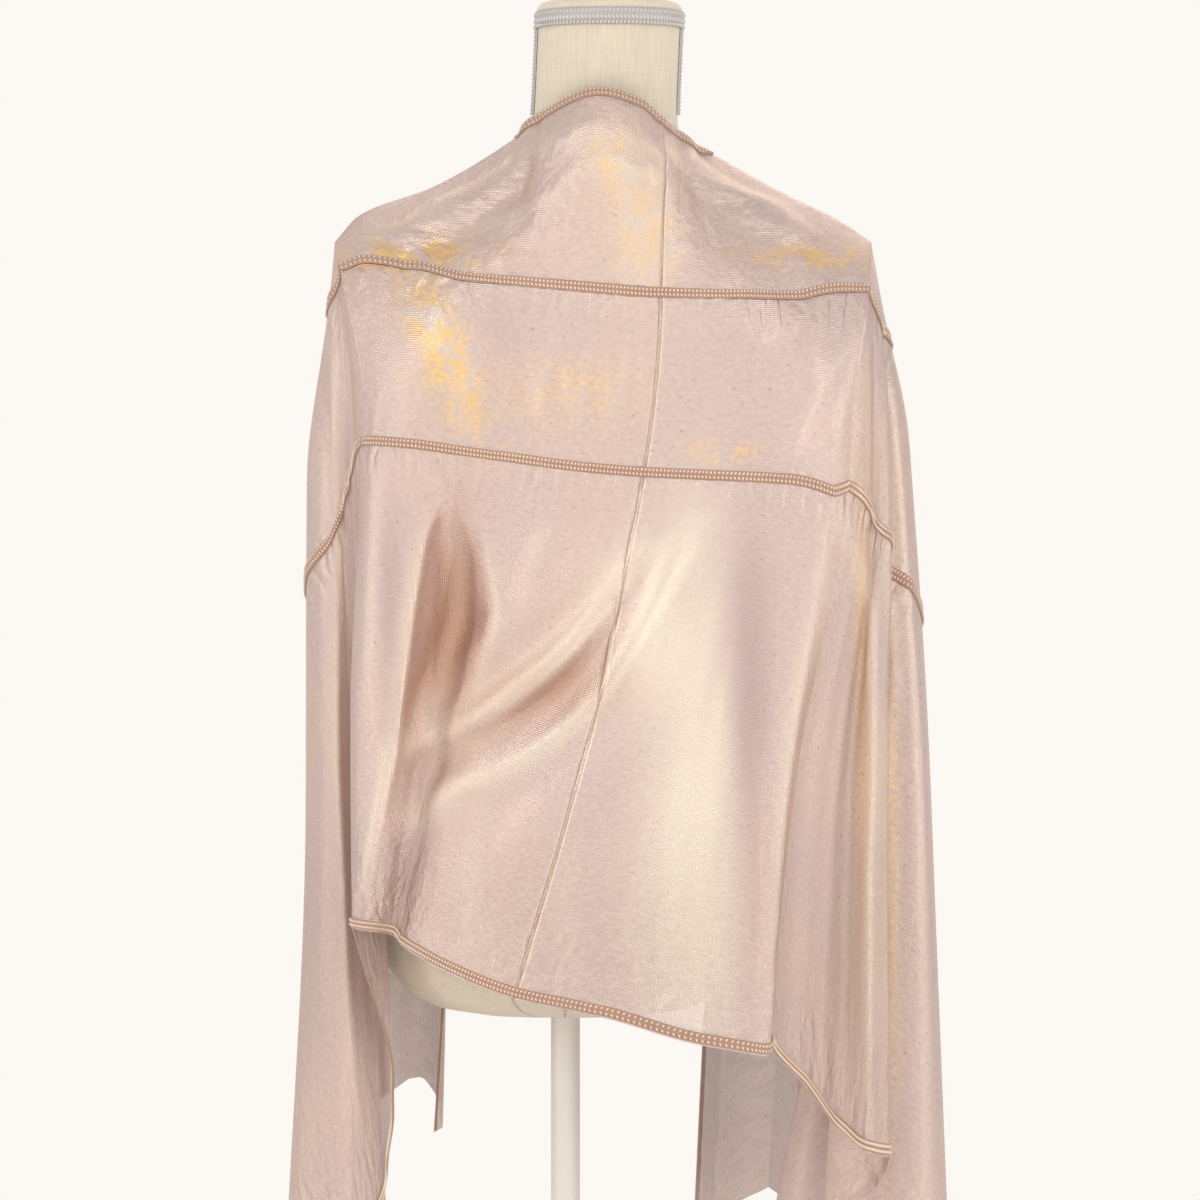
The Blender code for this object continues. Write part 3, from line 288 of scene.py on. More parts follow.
# Folds seen on the back: name, half width and height in millimetres, and the line that each
# follows, as x and z in millimetres. A height below zero is a hollow.
BACK_FOLDS = (
    ("left pocket edge", 5, 5.0, ((-88, 827), (-103, 807), (-110, 777), (-115, 749), (-121, 698),
                                  (-124, 663), (-135, 612), (-148, 545))),
    ("left pocket", 11, -8.0, ((-87, 822), (-80, 783), (-80, 749), (-88, 715), (-103, 681), (-118, 654))),
    ("left pocket rim", 7, 3.0, ((-68, 808), (-56, 775), (-52, 741), (-58, 715), (-71, 689), (-95, 663))),
    ("upper drag", 9, 7.5, ((56, 795), (35, 760), (8, 724), (-15, 703), (-34, 687), (-64, 666), (-94, 653),
                            (-109, 648))),
    ("hollow under the upper drag", 11, -8.0, ((56, 762), (25, 722), (-1, 689), (-35, 666), (-70, 649),
                                               (-95, 634))),
    ("lower drag", 8, 6.5, ((94, 814), (71, 769), (56, 739), (41, 713), (16, 675), (-18, 646), (-49, 627),
                            (-86, 612), (-109, 589))),
    ("satin swell", 26, 4.0, ((94, 784), (94, 679), (90, 567), (94, 432))),
    ("valley beside the satin", 10, -3.0, ((128, 754), (122, 694), (137, 619), (143, 529), (140, 447))),
    ("right panel crest", 5, 2.6, ((195, 814), (183, 742), (169, 660), (157, 574), (154, 540), (148, 424))),
    ("right panel gold crest", 4, 2.4, ((200, 832), (218, 790), (229, 736), (230, 631), (227, 544),
                                        (227, 424))),
    ("right shoulder band", 3.5, 1.8, ((224, 967), (180, 892), (161, 853))),
    ("right shoulder second band", 3.2, 1.5, ((224, 957), (207, 892), (199, 863))),
    ("left panel crest", 5, 1.5, ((-142, 867), (-144, 784), (-146, 679))),
    ("left panel hollow", 5, -2.0, ((-129, 844), (-130, 754), (-131, 687))),
    ("small dimple", 6, 1.5, ((-10, 813), (-28, 771))),
    ("nape swag", 4, 1.6, ((-49, 1077), (-4, 1099), (34, 1108), (64, 1092), (101, 1069), (146, 1057),
                           (191, 1050))),
    ("second swag", 5, 1.3, ((-71, 1035), (-19, 1050), (26, 1080), (56, 1077), (94, 1050), (146, 1035))),
    ("left shoulder line", 4, 1.1, ((-165, 1028), (-124, 1035), (-71, 1050))),
    ("nape hollow", 9, -1.8, ((41, 1092), (26, 1062), (56, 1032))),
    ("gold band", 10, 2.4, ((-120, 1008), (-94, 964), (-75, 923), (-68, 882))),
    ("hollow beside the gold band", 13, -1.6, ((-49, 979), (-41, 919))),
    ("gather left of the crease", 2.8, 0.9, ((55, 1012), (56, 987))),
    ("gather at the crease", 2.8, 1.0, ((68, 1024), (65, 985))),
    ("gather right of the crease", 2.8, 1.0, ((80, 1020), (77, 985))),
    ("left arm edge", 3, 1.8, ((-179, 989), (-172, 844), (-171, 650), (-166, 535), (-164, 484),
                               (-148, 304))),
    ("left arm low edge", 3, 1.6, ((-143, 426), (-130, 311))),
    ("right outer edge", 3, 1.8, ((239, 951), (249, 882), (257, 777), (263, 688), (268, 574), (272, 387),
                                  (273, 304))),
    ("right inner edge", 3, 1.8, ((237, 892), (243, 754), (247, 700), (242, 635), (243, 555), (242, 340))),
    ("low right swell", 8, 1.2, ((60, 560), (52, 500), (58, 440))),
    ("low middle swell", 7, 1.0, ((10, 590), (0, 520), (4, 470))),
    ("low left swell", 8, 1.2, ((-60, 600), (-70, 540), (-62, 490))),
)

# Short wrinkles between the braids: their half width and height in millimetres, and x and z in
# millimetres at the top and the foot of each
WRINKLE_HALF_WIDTH = 2.8
WRINKLE_HEIGHT = 1.1
SHORT_WRINKLES = (
    ((-40, 940), (-44, 889)), ((-26, 942), (-15, 886)), ((-10, 946), (-19, 893)), ((1, 934), (8, 886)),
    ((19, 946), (13, 889)), ((31, 938), (35, 882)), ((47, 942), (41, 886)), ((56, 949), (60, 889)),
)

# The four braids: the node that each stands for, and its middle's distance from the neck edge
BRAIDS = (
    ("braid_neck_edge", EDGE_MARGIN + HALF_BRAID),
    ("braid_upper", UPPER_BRAID),
    ("braid_lower", LOWER_BRAID),
    ("braid_hem", STOLE_WIDTH - EDGE_MARGIN - HALF_BRAID),
)

# Ground strip of a braid: place across it, in half widths, and lift off the cloth
BRAID_PROFILE = ((-1.0, 0.0004), (-0.8, 0.0015), (0.0, 0.0012), (0.8, 0.0015), (1.0, 0.0004))

# Ground strip of the gimp round the neck: height from its middle, and lift off the neck
RING_PROFILE = ((-0.0035, 0.0006), (-0.0028, 0.0017), (0.0030, 0.0023), (0.0088, 0.0026), (0.0096, 0.0016))

# Rows of stitches in the gimp round the neck: foot, head and lean in radians
RING_STITCHES = ((-0.0034, -0.0002, 0.016), (0.0004, 0.0040, -0.016), (0.0050, 0.0090, 0.016))

# Ground strip of the gimp down the neck's sides: place in half widths, and lift off the neck
SIDE_PROFILE = ((-1.0, 0.00048), (-0.8, 0.00192), (0.0, 0.00144), (0.8, 0.00192), (1.0, 0.00048))


def curve_through(keys, rows, at):
    """Smooth curve through rows of values that never swings past them; straight beyond its ends."""
    keys = np.asarray(keys, float)
    rows = np.asarray(rows, float)
    at = np.asarray(at, float)
    steps = np.diff(keys)
    rises = np.diff(rows, axis=0) / steps[:, None]
    before, after = rises[:-1], rises[1:]
    level = np.where(before * after > 0, before + after, 1.0)
    slopes = np.zeros_like(rows)
    slopes[1:-1] = np.where(before * after > 0, 2 * before * after / level, 0.0)
    slopes[0] = rises[0]
    slopes[-1] = rises[-1]
    cell = np.clip(np.searchsorted(keys, at, side="right") - 1, 0, len(steps) - 1)
    step = steps[cell][:, None]
    part = (at[:, None] - keys[cell][:, None]) / step
    inside = np.clip(part, 0.0, 1.0)
    square, cube = inside ** 2, inside ** 3
    value = (rows[cell] * (2 * cube - 3 * square + 1) + rows[cell + 1] * (3 * square - 2 * cube)
             + slopes[cell] * step * (cube - 2 * square + inside)
             + slopes[cell + 1] * step * (cube - square))
    end_slope = np.where(part < 0, slopes[cell], slopes[cell + 1])
    return value + (part - inside) * step * end_slope


def column_of(zone, key):
    """Number of the column of cloth that hangs at a fold's key in its zone."""
    if zone == "back":
        return key
    if zone == "right fan":
        return RIGHT_TIP_ALONG + radians(key) * FAN_REACH
    if zone == "right front":
        return RIGHT_TIP_ALONG + QUARTER * FAN_REACH + RIGHT_TIP_ACROSS - key
    if zone == "left fan":
        return LEFT_TIP_ALONG - radians(key) * FAN_REACH
    return LEFT_TIP_ALONG - QUARTER * FAN_REACH - LEFT_TIP_ACROSS + key


FIRST_COLUMN = column_of("left front", 0.0)
LAST_COLUMN = column_of("right front", 0.0)


def carrying_across(along):
    """Cloth coordinate across of the carrying line at a cloth coordinate along."""
    rows = [(row[1], row[2]) for row in CARRYING_LINE]
    return np.interp(along, [row[0] for row in rows], [row[1] for row in rows])


def carrying_along(side, across):
    """Distance from the crease, along the cloth, where the carrying line lies that far across."""
    rows = [row for row in CARRYING_LINE if row[1] * side > 0]
    rows = [(row[2], abs(row[1])) for row in rows if row[2] > 0 or row[0].endswith("crossing")]
    rows.sort()
    return np.interp(across, [row[0] for row in rows], [row[1] for row in rows])


def carrying_key(columns):
    """Cloth coordinate along of the carrying line where each column starts."""
    columns = np.asarray(columns, float)
    key = np.clip(columns, LEFT_TIP_ALONG, RIGHT_TIP_ALONG)
    front = RIGHT_TIP_ALONG + QUARTER * FAN_REACH
    across = np.clip(RIGHT_TIP_ACROSS - (columns - front), 0.0, RIGHT_TIP_ACROSS)
    key = np.where(columns > front, carrying_along(1, across), key)
    front = LEFT_TIP_ALONG - QUARTER * FAN_REACH
    across = np.clip(LEFT_TIP_ACROSS - (front - columns), 0.0, LEFT_TIP_ACROSS)
    return np.where(columns < front, -carrying_along(-1, across), key)


def carrying_point(keys):
    """Points of the carrying line at cloth coordinates along it."""
    line_keys = [row[1] for row in CARRYING_LINE]
    return curve_through(line_keys, [row[3:] for row in CARRYING_LINE], keys)


def over_shoulder(keys):
    """Direction straight up off a shoulder line."""
    after = np.minimum(keys + LINE_STEP, CARRYING_LINE[-1][1])
    before = np.maximum(keys - LINE_STEP, CARRYING_LINE[0][1])
    run = carrying_point(after) - carrying_point(before)
    upward = np.stack([-run[:, 2], np.zeros(len(run)), run[:, 0]], axis=1)
    return upward / np.linalg.norm(upward, axis=1, keepdims=True)


def on_shoulder(columns):
    """True for the columns that start on a shoulder line, where back and front columns meet."""
    keys = carrying_key(columns)
    return (keys >= RIGHT_CROSSING - 1e-9) | (keys <= LEFT_CROSSING + 1e-9)


def fan_angle(column):
    """Side of a column's fan and its angle, or None outside the two fans."""
    right = (column - RIGHT_TIP_ALONG) / FAN_REACH
    left = (LEFT_TIP_ALONG - column) / FAN_REACH
    if 0 < right <= QUARTER + 1e-9:
        return RIGHT_TIP_ALONG, RIGHT_TIP_ACROSS, right
    if 0 < left <= QUARTER + 1e-9:
        return -LEFT_TIP_ALONG, LEFT_TIP_ACROSS, left
    return None


def depth_at(column, across):
    """Depth down a column where the cloth lies that far across, never above the carrying line."""
    fan = fan_angle(column)
    if fan is None:
        return max(0.0, across - float(carrying_across(column)))
    return max(0.0, across - fan[1]) / max(cos(fan[2]), 1e-6)


def is_front(column):
    """True for the columns that hang down the front between a fan and the neck edge."""
    right_front = RIGHT_TIP_ALONG + QUARTER * FAN_REACH + 1e-9
    left_front = LEFT_TIP_ALONG - QUARTER * FAN_REACH - 1e-9
    return column > right_front or column < left_front


def depth_of_end(column):
    """Depth down a column of the cloth's hem or its short end, whichever comes first."""
    if is_front(column):
        return STOLE_LENGTH / 2 - abs(float(carrying_key([column])[0]))
    fan = fan_angle(column)
    if fan is None:
        return depth_at(column, STOLE_WIDTH)
    short_end = (STOLE_LENGTH / 2 - fan[0]) / max(sin(fan[2]), 1e-6)
    return min(depth_at(column, STOLE_WIDTH), short_end)


def form_section(heights):
    """Centre, half width and the two depths of the form at some heights."""
    keys = [row[1] for row in FORM_SECTIONS]
    sizes = curve_through(keys, [row[2:] for row in FORM_SECTIONS], np.clip(heights, keys[0], keys[-1]))
    centre = FORM_LEAN * (np.asarray(heights) - FORM_BOTTOM) / (FORM_TOP - FORM_BOTTOM)
    return centre, sizes[:, 0], sizes[:, 1], sizes[:, 2]


def clear_of_form(points):
    """Points moved straight outwards until they clear the form."""
    shape = points.shape
    points = points.reshape(-1, 3)
    centre, width, behind, before = form_section(points[:, 2])
    rise = np.clip((points[:, 2] - CLEARANCE_LOW) / (CLEARANCE_HIGH - CLEARANCE_LOW), 0, 1)
    clearance = CLOTH_CLEARANCE + (SHOULDER_CLEARANCE - CLOTH_CLEARANCE) * rise
    across = points[:, 0] - centre
    through = points[:, 1]
    depth = np.where(through < 0, behind, before) + clearance
    level = (np.abs(across) / (width + clearance)) ** FORM_POWER
    level += (np.abs(through) / depth) ** FORM_POWER
    inside = (level < 1) & (points[:, 2] > FORM_BOTTOM) & (points[:, 2] < FORM_TOP)
    growth = np.where(inside, np.maximum(level, 1e-3) ** (-1 / FORM_POWER), 1.0)
    moved = points.copy()
    moved[:, 0] = centre + across * growth
    moved[:, 1] = through * growth
    return moved.reshape(shape)


def cloth_coordinates(columns, depths):
    """Cloth coordinates along and across of every column at every depth."""
    along = np.empty((len(columns), len(depths)))
    across = np.empty_like(along)
    for index, column in enumerate(columns):
        fan = fan_angle(column)
        if is_front(column):
            side = 1 if column > 0 else -1
            start = abs(float(carrying_key([column])[0]))
            edge = LAST_COLUMN if side > 0 else FIRST_COLUMN
            along[index] = side * (start + depths)
            across[index] = abs(edge - column)
        elif fan is None:
            along[index] = column
            across[index] = carrying_across(column) + depths
        else:
            side = 1 if column > 0 else -1
            along[index] = side * (fan[0] + depths * sin(fan[2]))
            across[index] = fan[1] + depths * cos(fan[2])
    return along, across


def drag_relief(along, across):
    """Height of the slanting folds over the cloth."""
    relief = np.zeros_like(along)
    for _name, along_a, across_a, along_b, across_b, half_width, height in DRAG_FOLDS:
        run = np.array([along_b - along_a, across_b - across_a])
        length = np.hypot(*run)
        run = run / length
        down = (along - along_a) * run[0] + (across - across_a) * run[1]
        aside = (along - along_a) * run[1] - (across - across_a) * run[0]
        place = np.clip(down / length, 0, 1)
        beyond = down - place * length
        swell = np.sin(pi * (DRAG_START + place * (1 - 2 * DRAG_START)))
        relief += height * swell * np.exp(-(aside ** 2 + beyond ** 2) / half_width ** 2)
    return relief


def rounded(places, rounding):
    """Places along the columns with the folds' corners rounded off."""
    reach = int(round(3 * rounding / COLUMN_STEP))
    weights = np.exp(-0.5 * (np.arange(-reach, reach + 1) * COLUMN_STEP / rounding) ** 2)
    weights /= weights.sum()
    before = 2 * places[0] - places[reach:0:-1]
    after = 2 * places[-1] - places[-2:-reach - 2:-1]
    padded = np.concatenate([before, places, after])
    lines = [np.convolve(padded[:, axis], weights, "valid") for axis in range(places.shape[1])]
    return np.stack(lines, axis=1)


class ClothSurface:
    """The middle of the draped cloth and its outward direction, worked out on a fine grid."""

    def __init__(self):
        count = int(round((LAST_COLUMN - FIRST_COLUMN) / COLUMN_STEP)) + 1
        self.columns = np.linspace(FIRST_COLUMN, LAST_COLUMN, count)
        self.depths = np.arange(0.0, DEEPEST + DEPTH_STEP, DEPTH_STEP)
        self.points = self.hang()
        self.outward = self.normals()

    def hang(self):
        """Hangs every column from the carrying line at its true length."""
        fold_columns = [column_of(row[1], row[2]) for row in FOLDS]
        rows = [[value / 1000 for value in row[3:]] for row in FOLDS]
        places = rounded(curve_through(fold_columns, rows, self.columns), FOLD_ROUNDING)
        shoulder = rounded(places[:, 0:2], SHOULDER_FOLD_ROUNDING)
        start = carrying_point(carrying_key(self.columns))
        stations = [0.0, CHEST_DEPTH, WAIST_DEPTH, LOW_DEPTH]
        flat = np.stack([shoulder, places[:, 0:2], places[:, 2:4], places[:, 4:6]])
        hanging = curve_through(stations, flat.reshape(4, -1), self.depths)
        hanging = hanging.reshape(len(self.depths), len(self.columns), 2)
        reach = start[:, :2] - hanging[0]
        fade = np.clip(1 - self.depths / SHOULDER_ROUNDING, 0, 1) ** 2
        plan = hanging + reach[None] * fade[:, None, None]
        plan = self.soften_tips(plan.transpose(1, 0, 2), start[:, :2])
        travel = np.linalg.norm(np.diff(plan, axis=1), axis=2) / DEPTH_STEP
        travel = travel / (1 + travel ** TRAVEL_POWER) ** (1 / TRAVEL_POWER)
        fall = np.sqrt(1 - travel ** 2) * DEPTH_STEP
        height = np.concatenate([np.zeros((len(self.columns), 1)), np.cumsum(fall, axis=1)], axis=1)
        height = self.set_heights(start[:, 2:3] - height)
        points = np.concatenate([plan, height[:, :, None]], axis=2)
        along, across = cloth_coordinates(self.columns, self.depths)
        self.points = points
        outward = self.normals()
        points = points + outward * drag_relief(along, across)[:, :, None]
        return clear_of_form(points)

    def soften_tips(self, plan, start):
        """Plan of the columns with the folds melted together close to the line that carries them."""
        offset = plan - start[:, None, :]
        smooth = rounded(offset.reshape(len(self.columns), -1), TIP_ROUNDING).reshape(offset.shape)
        fade = np.clip(1 - self.depths / TIP_REACH, 0, 1)
        fade = (fade ** 2 * (3 - 2 * fade))[None, :, None]
        return start[:, None, :] + offset * (1 - fade) + smooth * fade

    def set_heights(self, height):
        """Heights down each column, with the braids and the hem at their named heights."""
        keys = [column_of(row[1], row[2]) for row in HEIGHTS]
        most = MOST_HEIGHT_SHIFT * self.depths
        shifts = np.zeros_like(height)
        named = [index for index, column in enumerate(self.columns) if keys[0] <= column <= keys[-1]]
        for index in named:
            column = self.columns[index]
            heights = curve_through(keys, [row[3:] for row in HEIGHTS], [column])[0]
            stations = [depth_at(column, across) for across in (UPPER_BRAID, LOWER_BRAID, STOLE_WIDTH)]
            values = [[height[index, 0]]] + [[value] for value in heights]
            line = curve_through([0.0] + stations, values, self.depths)[:, 0]
            shifts[index] = np.clip(line - height[index], -most, most)
        for index, column in enumerate(self.columns):
            beyond = max(keys[0] - column, column - keys[-1])
            if beyond > 0:
                fade = max(0.0, 1 - beyond / FAN_REACH / HEIGHT_FADE)
                nearest = named[0] if column < keys[0] else named[-1]
                shifts[index] = shifts[nearest] * fade ** 2 * (3 - 2 * fade)
        return height + shifts

    def normals(self):
        """Direction away from the form at every point of the grid."""
        sideways = np.gradient(self.points, axis=0)
        down = np.gradient(self.points, axis=1)
        outward = np.cross(down, sideways)
        size = np.linalg.norm(outward, axis=2, keepdims=True)
        outward = outward / np.maximum(size, 1e-12)
        shared = on_shoulder(self.columns)
        outward[shared, 0] = over_shoulder(carrying_key(self.columns))[shared]
        return outward

    def blend_at(self, grid, column, depth):
        """Value of a grid over the cloth at a column and depth."""
        place = (np.asarray(column) - FIRST_COLUMN) / (self.columns[1] - self.columns[0])
        drop = np.asarray(depth) / DEPTH_STEP
        left = np.clip(np.floor(place).astype(int), 0, len(self.columns) - 2)
        top = np.clip(np.floor(drop).astype(int), 0, len(self.depths) - 2)
        right_part = np.clip(place - left, 0, 1)[..., None]
        low_part = np.clip(drop - top, 0, 1)[..., None]
        upper = grid[left, top] * (1 - right_part) + grid[left + 1, top] * right_part
        lower = grid[left, top + 1] * (1 - right_part) + grid[left + 1, top + 1] * right_part
        return upper * (1 - low_part) + lower * low_part

    def at(self, column, depth, lift=0.0):
        """Point of the cloth at a column and depth, lifted off its middle by a distance."""
        outward = self.blend_at(self.outward, column, depth)
        outward = outward / np.linalg.norm(outward, axis=-1, keepdims=True)
        return self.blend_at(self.points, column, depth) + outward * np.asarray(lift)[..., None]


def place_on_cloth(along, across):
    """Column and depth of a point given by its two cloth coordinates."""
    side, tip, tip_across = 1, RIGHT_TIP_ALONG, RIGHT_TIP_ACROSS
    if along < 0:
        side, tip, tip_across = -1, -LEFT_TIP_ALONG, LEFT_TIP_ACROSS
    beyond = abs(along) - tip
    if beyond > 0 and across > tip_across:
        angle = float(np.arctan2(beyond, across - tip_across))
        return side * (tip + angle * FAN_REACH), float(np.hypot(beyond, across - tip_across))
    if across < tip_across:
        start = float(carrying_along(side, max(across, 0.0)))
        if abs(along) > start:
            edge = LAST_COLUMN if side > 0 else FIRST_COLUMN
            return edge - side * across, abs(along) - start
    return along, across - float(carrying_across(along))


def form_ring(height, sides, grow=0.0):
    """Ring of points round the form at one height."""
    centre, width, behind, before = (float(value[0]) if np.ndim(value) else float(value)
                                     for value in form_section([height]))
    ring = []
    for side in range(sides):
        angle = 2 * pi * side / sides
        turn_x, turn_y = cos(angle), sin(angle)
        depth = (before if turn_y > 0 else behind) + grow
        reach = (abs(turn_x) ** FORM_POWER + abs(turn_y) ** FORM_POWER) ** (-1 / FORM_POWER)
        ring.append((centre + (width + grow) * turn_x * reach, depth * turn_y * reach, height))
    return ring


class StoleSizes(bpy.types.PropertyGroup):
    """Sizes and colours of the stole's cloth."""

    column_spacing: FloatProperty(name="Column spacing",
                                  description="Cloth between two columns of the mesh",
                                  default=0.0026, min=0.001, unit="LENGTH")
    rows: IntProperty(name="Rows", description="Rows of the mesh down each column", default=144, min=8)
    crease_height: FloatProperty(name="Crease height", description="Height of the pressed centre crease",
                                 default=0.0011, unit="LENGTH")
    crease_width: FloatProperty(name="Crease half width", description="Half width of the pressed crease",
                                default=0.0022, unit="LENGTH")
    fold_strength: FloatProperty(name="Fold strength", description="How strongly the fine folds stand out",
                                 default=1.25, subtype="FACTOR")
    rose: FloatVectorProperty(name="Rose", description="Main colour of the cloth", size=3, subtype="COLOR",
                              default=(0.700, 0.545, 0.480))
    lilac: FloatVectorProperty(name="Lilac", description="Cooler colour of the cloth", size=3,
                               subtype="COLOR", default=(0.640, 0.505, 0.490))
    # Peach is the colour of the painted shade in the hollows and beside the crease
    peach: FloatVectorProperty(name="Peach", description="Deeper colour in the hollows", size=3,
                               subtype="COLOR", default=(0.560, 0.340, 0.240))
    # Shade is the colour painted where nothing lies behind the cloth
    shade: FloatVectorProperty(name="Shade", description="Cool colour where nothing lies behind the cloth",
                               size=3, subtype="COLOR", default=(0.430, 0.320, 0.330))
    # Cream is the colour of the painted highlights: satin, fold crests, crinkle glints and the crease
    cream: FloatVectorProperty(name="Cream", description="Pale satin colour", size=3, subtype="COLOR",
                               default=(0.930, 0.830, 0.690))
    # Gold is the colour of the painted highlights
    gold: FloatVectorProperty(name="Gold", description="Colour of the metal thread", size=3,
                              subtype="COLOR", default=(0.950, 0.640, 0.260))
    cover: FloatProperty(name="Cover",
                         description="Share that the threads cover where the cloth hangs free",
                         default=0.83, subtype="FACTOR")


class BraidSizes(bpy.types.PropertyGroup):
    """Sizes and colours of the braids on the stole."""

    pitch: FloatProperty(name="Pitch", description="Distance between two slanted stitches",
                         default=0.00290, unit="LENGTH")
    stitch_slant: FloatProperty(name="Slant", description="How far a stitch leans along the braid",
                                default=0.0011, unit="LENGTH")
    stitch_radius: FloatProperty(name="Stitch radius", description="Half width of one stitch",
                                 default=0.00088, unit="LENGTH")
    ground: FloatVectorProperty(name="Ground", description="Colour of the braid's ground", size=3,
                                subtype="COLOR", default=(0.400, 0.235, 0.180))
    ground_gold: FloatVectorProperty(name="Golden ground", description="Colour of the ground in places",
                                     size=3, subtype="COLOR", default=(0.460, 0.280, 0.190))
    stitch: FloatVectorProperty(name="Stitch", description="Colour of the stitches", size=3,
                                subtype="COLOR", default=(0.830, 0.650, 0.530))
    stitch_gold: FloatVectorProperty(name="Golden stitch", description="Colour of the stitches in places",
                                     size=3, subtype="COLOR", default=(0.900, 0.760, 0.580))


class FormSizes(bpy.types.PropertyGroup):
    """Sizes and colours of the dress form and its stand."""

    sides: IntProperty(name="Sides", description="Points round the form", default=120, min=24)
    rings: IntProperty(name="Rings", description="Rings up the form", default=150, min=24)
    linen: FloatVectorProperty(name="Linen", description="Colour of the cover", size=3, subtype="COLOR",
                               default=(0.800, 0.715, 0.570))
    pale_linen: FloatVectorProperty(name="Pale linen", description="Colour of the cover in places",
                                    size=3, subtype="COLOR", default=(0.780, 0.720, 0.600))
    seam: FloatVectorProperty(name="Seam", description="Colour of the cover's seams", size=3,
                              subtype="COLOR", default=(0.460, 0.380, 0.270))
    gimp: FloatVectorProperty(name="Gimp", description="Colour of the form's braid", size=3,
                              subtype="COLOR", default=(0.700, 0.690, 0.660))
    paint: FloatVectorProperty(name="Paint", description="Colour of the stand", size=3, subtype="COLOR",
                               default=(0.860, 0.830, 0.780))


class StageSizes(bpy.types.PropertyGroup):
    """Light, floor and camera."""

    backdrop: FloatVectorProperty(name="Backdrop", description="Colour behind the form", size=3,
                                  subtype="COLOR", default=(0.973, 0.939, 0.896))
    haze: FloatVectorProperty(name="Haze", description="Colour of the light from all round", size=3,
                              subtype="COLOR", default=(0.970, 0.935, 0.945))
    sky: FloatProperty(name="Sky", description="Strength of the light from all round", default=0.78)
    key_power: FloatProperty(name="Key", description="Power of the main light", default=16.0,
                             unit="POWER")
    fill_power: FloatProperty(name="Fill", description="Power of the fill light", default=12.0,
                              unit="POWER")
    top_power: FloatProperty(name="Top", description="Power of the light from above", default=8.0,
                             unit="POWER")
    strip_power: FloatProperty(name="Strips", description="Power of each tall light at the sides",
                               default=26.0, unit="POWER")
    back_power: FloatProperty(name="Back", description="Power of the light from behind", default=30.0,
                              unit="POWER")
    camera_distance: FloatProperty(name="Camera distance", description="From the camera to the cloth",
                                   default=5.0, unit="LENGTH")
    frame_width: FloatProperty(name="Frame width", description="Width that the picture covers",
                               default=0.90, unit="LENGTH")
    frame_x: FloatProperty(name="Frame middle", description="Sideways place of the picture's middle",
                           default=0.02625, unit="LENGTH")
    frame_z: FloatProperty(name="Frame height", description="Height of the picture's middle",
                           default=0.75425, unit="LENGTH")


class Signal:
    """An output socket, with arithmetic that adds Math nodes."""

    def __init__(self, sheet, socket):
        self.sheet = sheet
        self.socket = socket

    def join(self, operation, *values):
        return self.sheet.add("ShaderNodeMath", {"operation": operation}, dict(enumerate(values)))

    def __add__(self, other):
        return self.join("ADD", self, other)

    __radd__ = __add__

    def __sub__(self, other):
        return self.join("SUBTRACT", self, other)

    def __rsub__(self, other):
        return self.join("SUBTRACT", other, self)

    def __mul__(self, other):
        return self.join("MULTIPLY", self, other)

    __rmul__ = __mul__

    def sine(self):
        return self.join("SINE", self)

    def clamped(self):
        return self.sheet.add("ShaderNodeClamp", {}, {0: self})

    def bell(self, middle, width):
        """One at the middle, falling to nothing about twice the width away."""
        offset = (self - middle) * (1 / width)
        return self.join("EXPONENT", offset * offset * -1.0)


class Finish:
    """A material under construction."""

    def __init__(self, name):
        self.material = bpy.data.materials.new(name)
        self.material.use_nodes = True
        self.tree = self.material.node_tree
        self.tree.nodes.clear()

    def add(self, kind, settings=None, values=None, output=0):
        """Adds a node of a type, with its settings and then the values or links of its sockets."""
        node = self.tree.nodes.new(kind)
        for name, value in (settings or {}).items():
            setattr(node, name, value)
        for name, value in (values or {}).items():
            socket = node.inputs[name]
            if isinstance(value, Signal):
                self.tree.links.new(value.socket, socket)
            else:
                wide = hasattr(socket.default_value, "__len__") and hasattr(value, "__len__")
                if wide and len(socket.default_value) == 4 and len(value) == 3:
                    value = (*value, 1.0)
                socket.default_value = value
        return Signal(self, node.outputs[output])

    def attribute(self, name, output="Fac"):
        return self.add("ShaderNodeAttribute", {"attribute_name": name}, output=output)

    def parts(self, vector):
        return [self.add("ShaderNodeSeparateXYZ", {}, {0: vector}, output=place) for place in range(3)]

    def place(self, x, y, z):
        return self.add("ShaderNodeCombineXYZ", {}, {0: x, 1: y, 2: z})

    def noise(self, at, scale, detail=2.0, roughness=0.5, dimensions="3D"):
        return self.add("ShaderNodeTexNoise", {"noise_dimensions": dimensions}, {
            "Vector": at, "Scale": scale, "Detail": detail, "Roughness": roughness})

    def blend(self, mask, first, second):
        """Colour that goes from the first to the second with the mask."""
        node_values = {0: mask, 6: first, 7: second}
        return self.add("ShaderNodeMix", {"data_type": "RGBA"}, node_values, output=2)

    def bump(self, height, distance, strength):
        return self.add("ShaderNodeBump", {}, {"Height": height, "Distance": distance,
                                               "Strength": strength})

    def surface(self, shader):
        output = self.tree.nodes.new("ShaderNodeOutputMaterial")
        self.tree.links.new(shader.socket, output.inputs["Surface"])
        return self.material


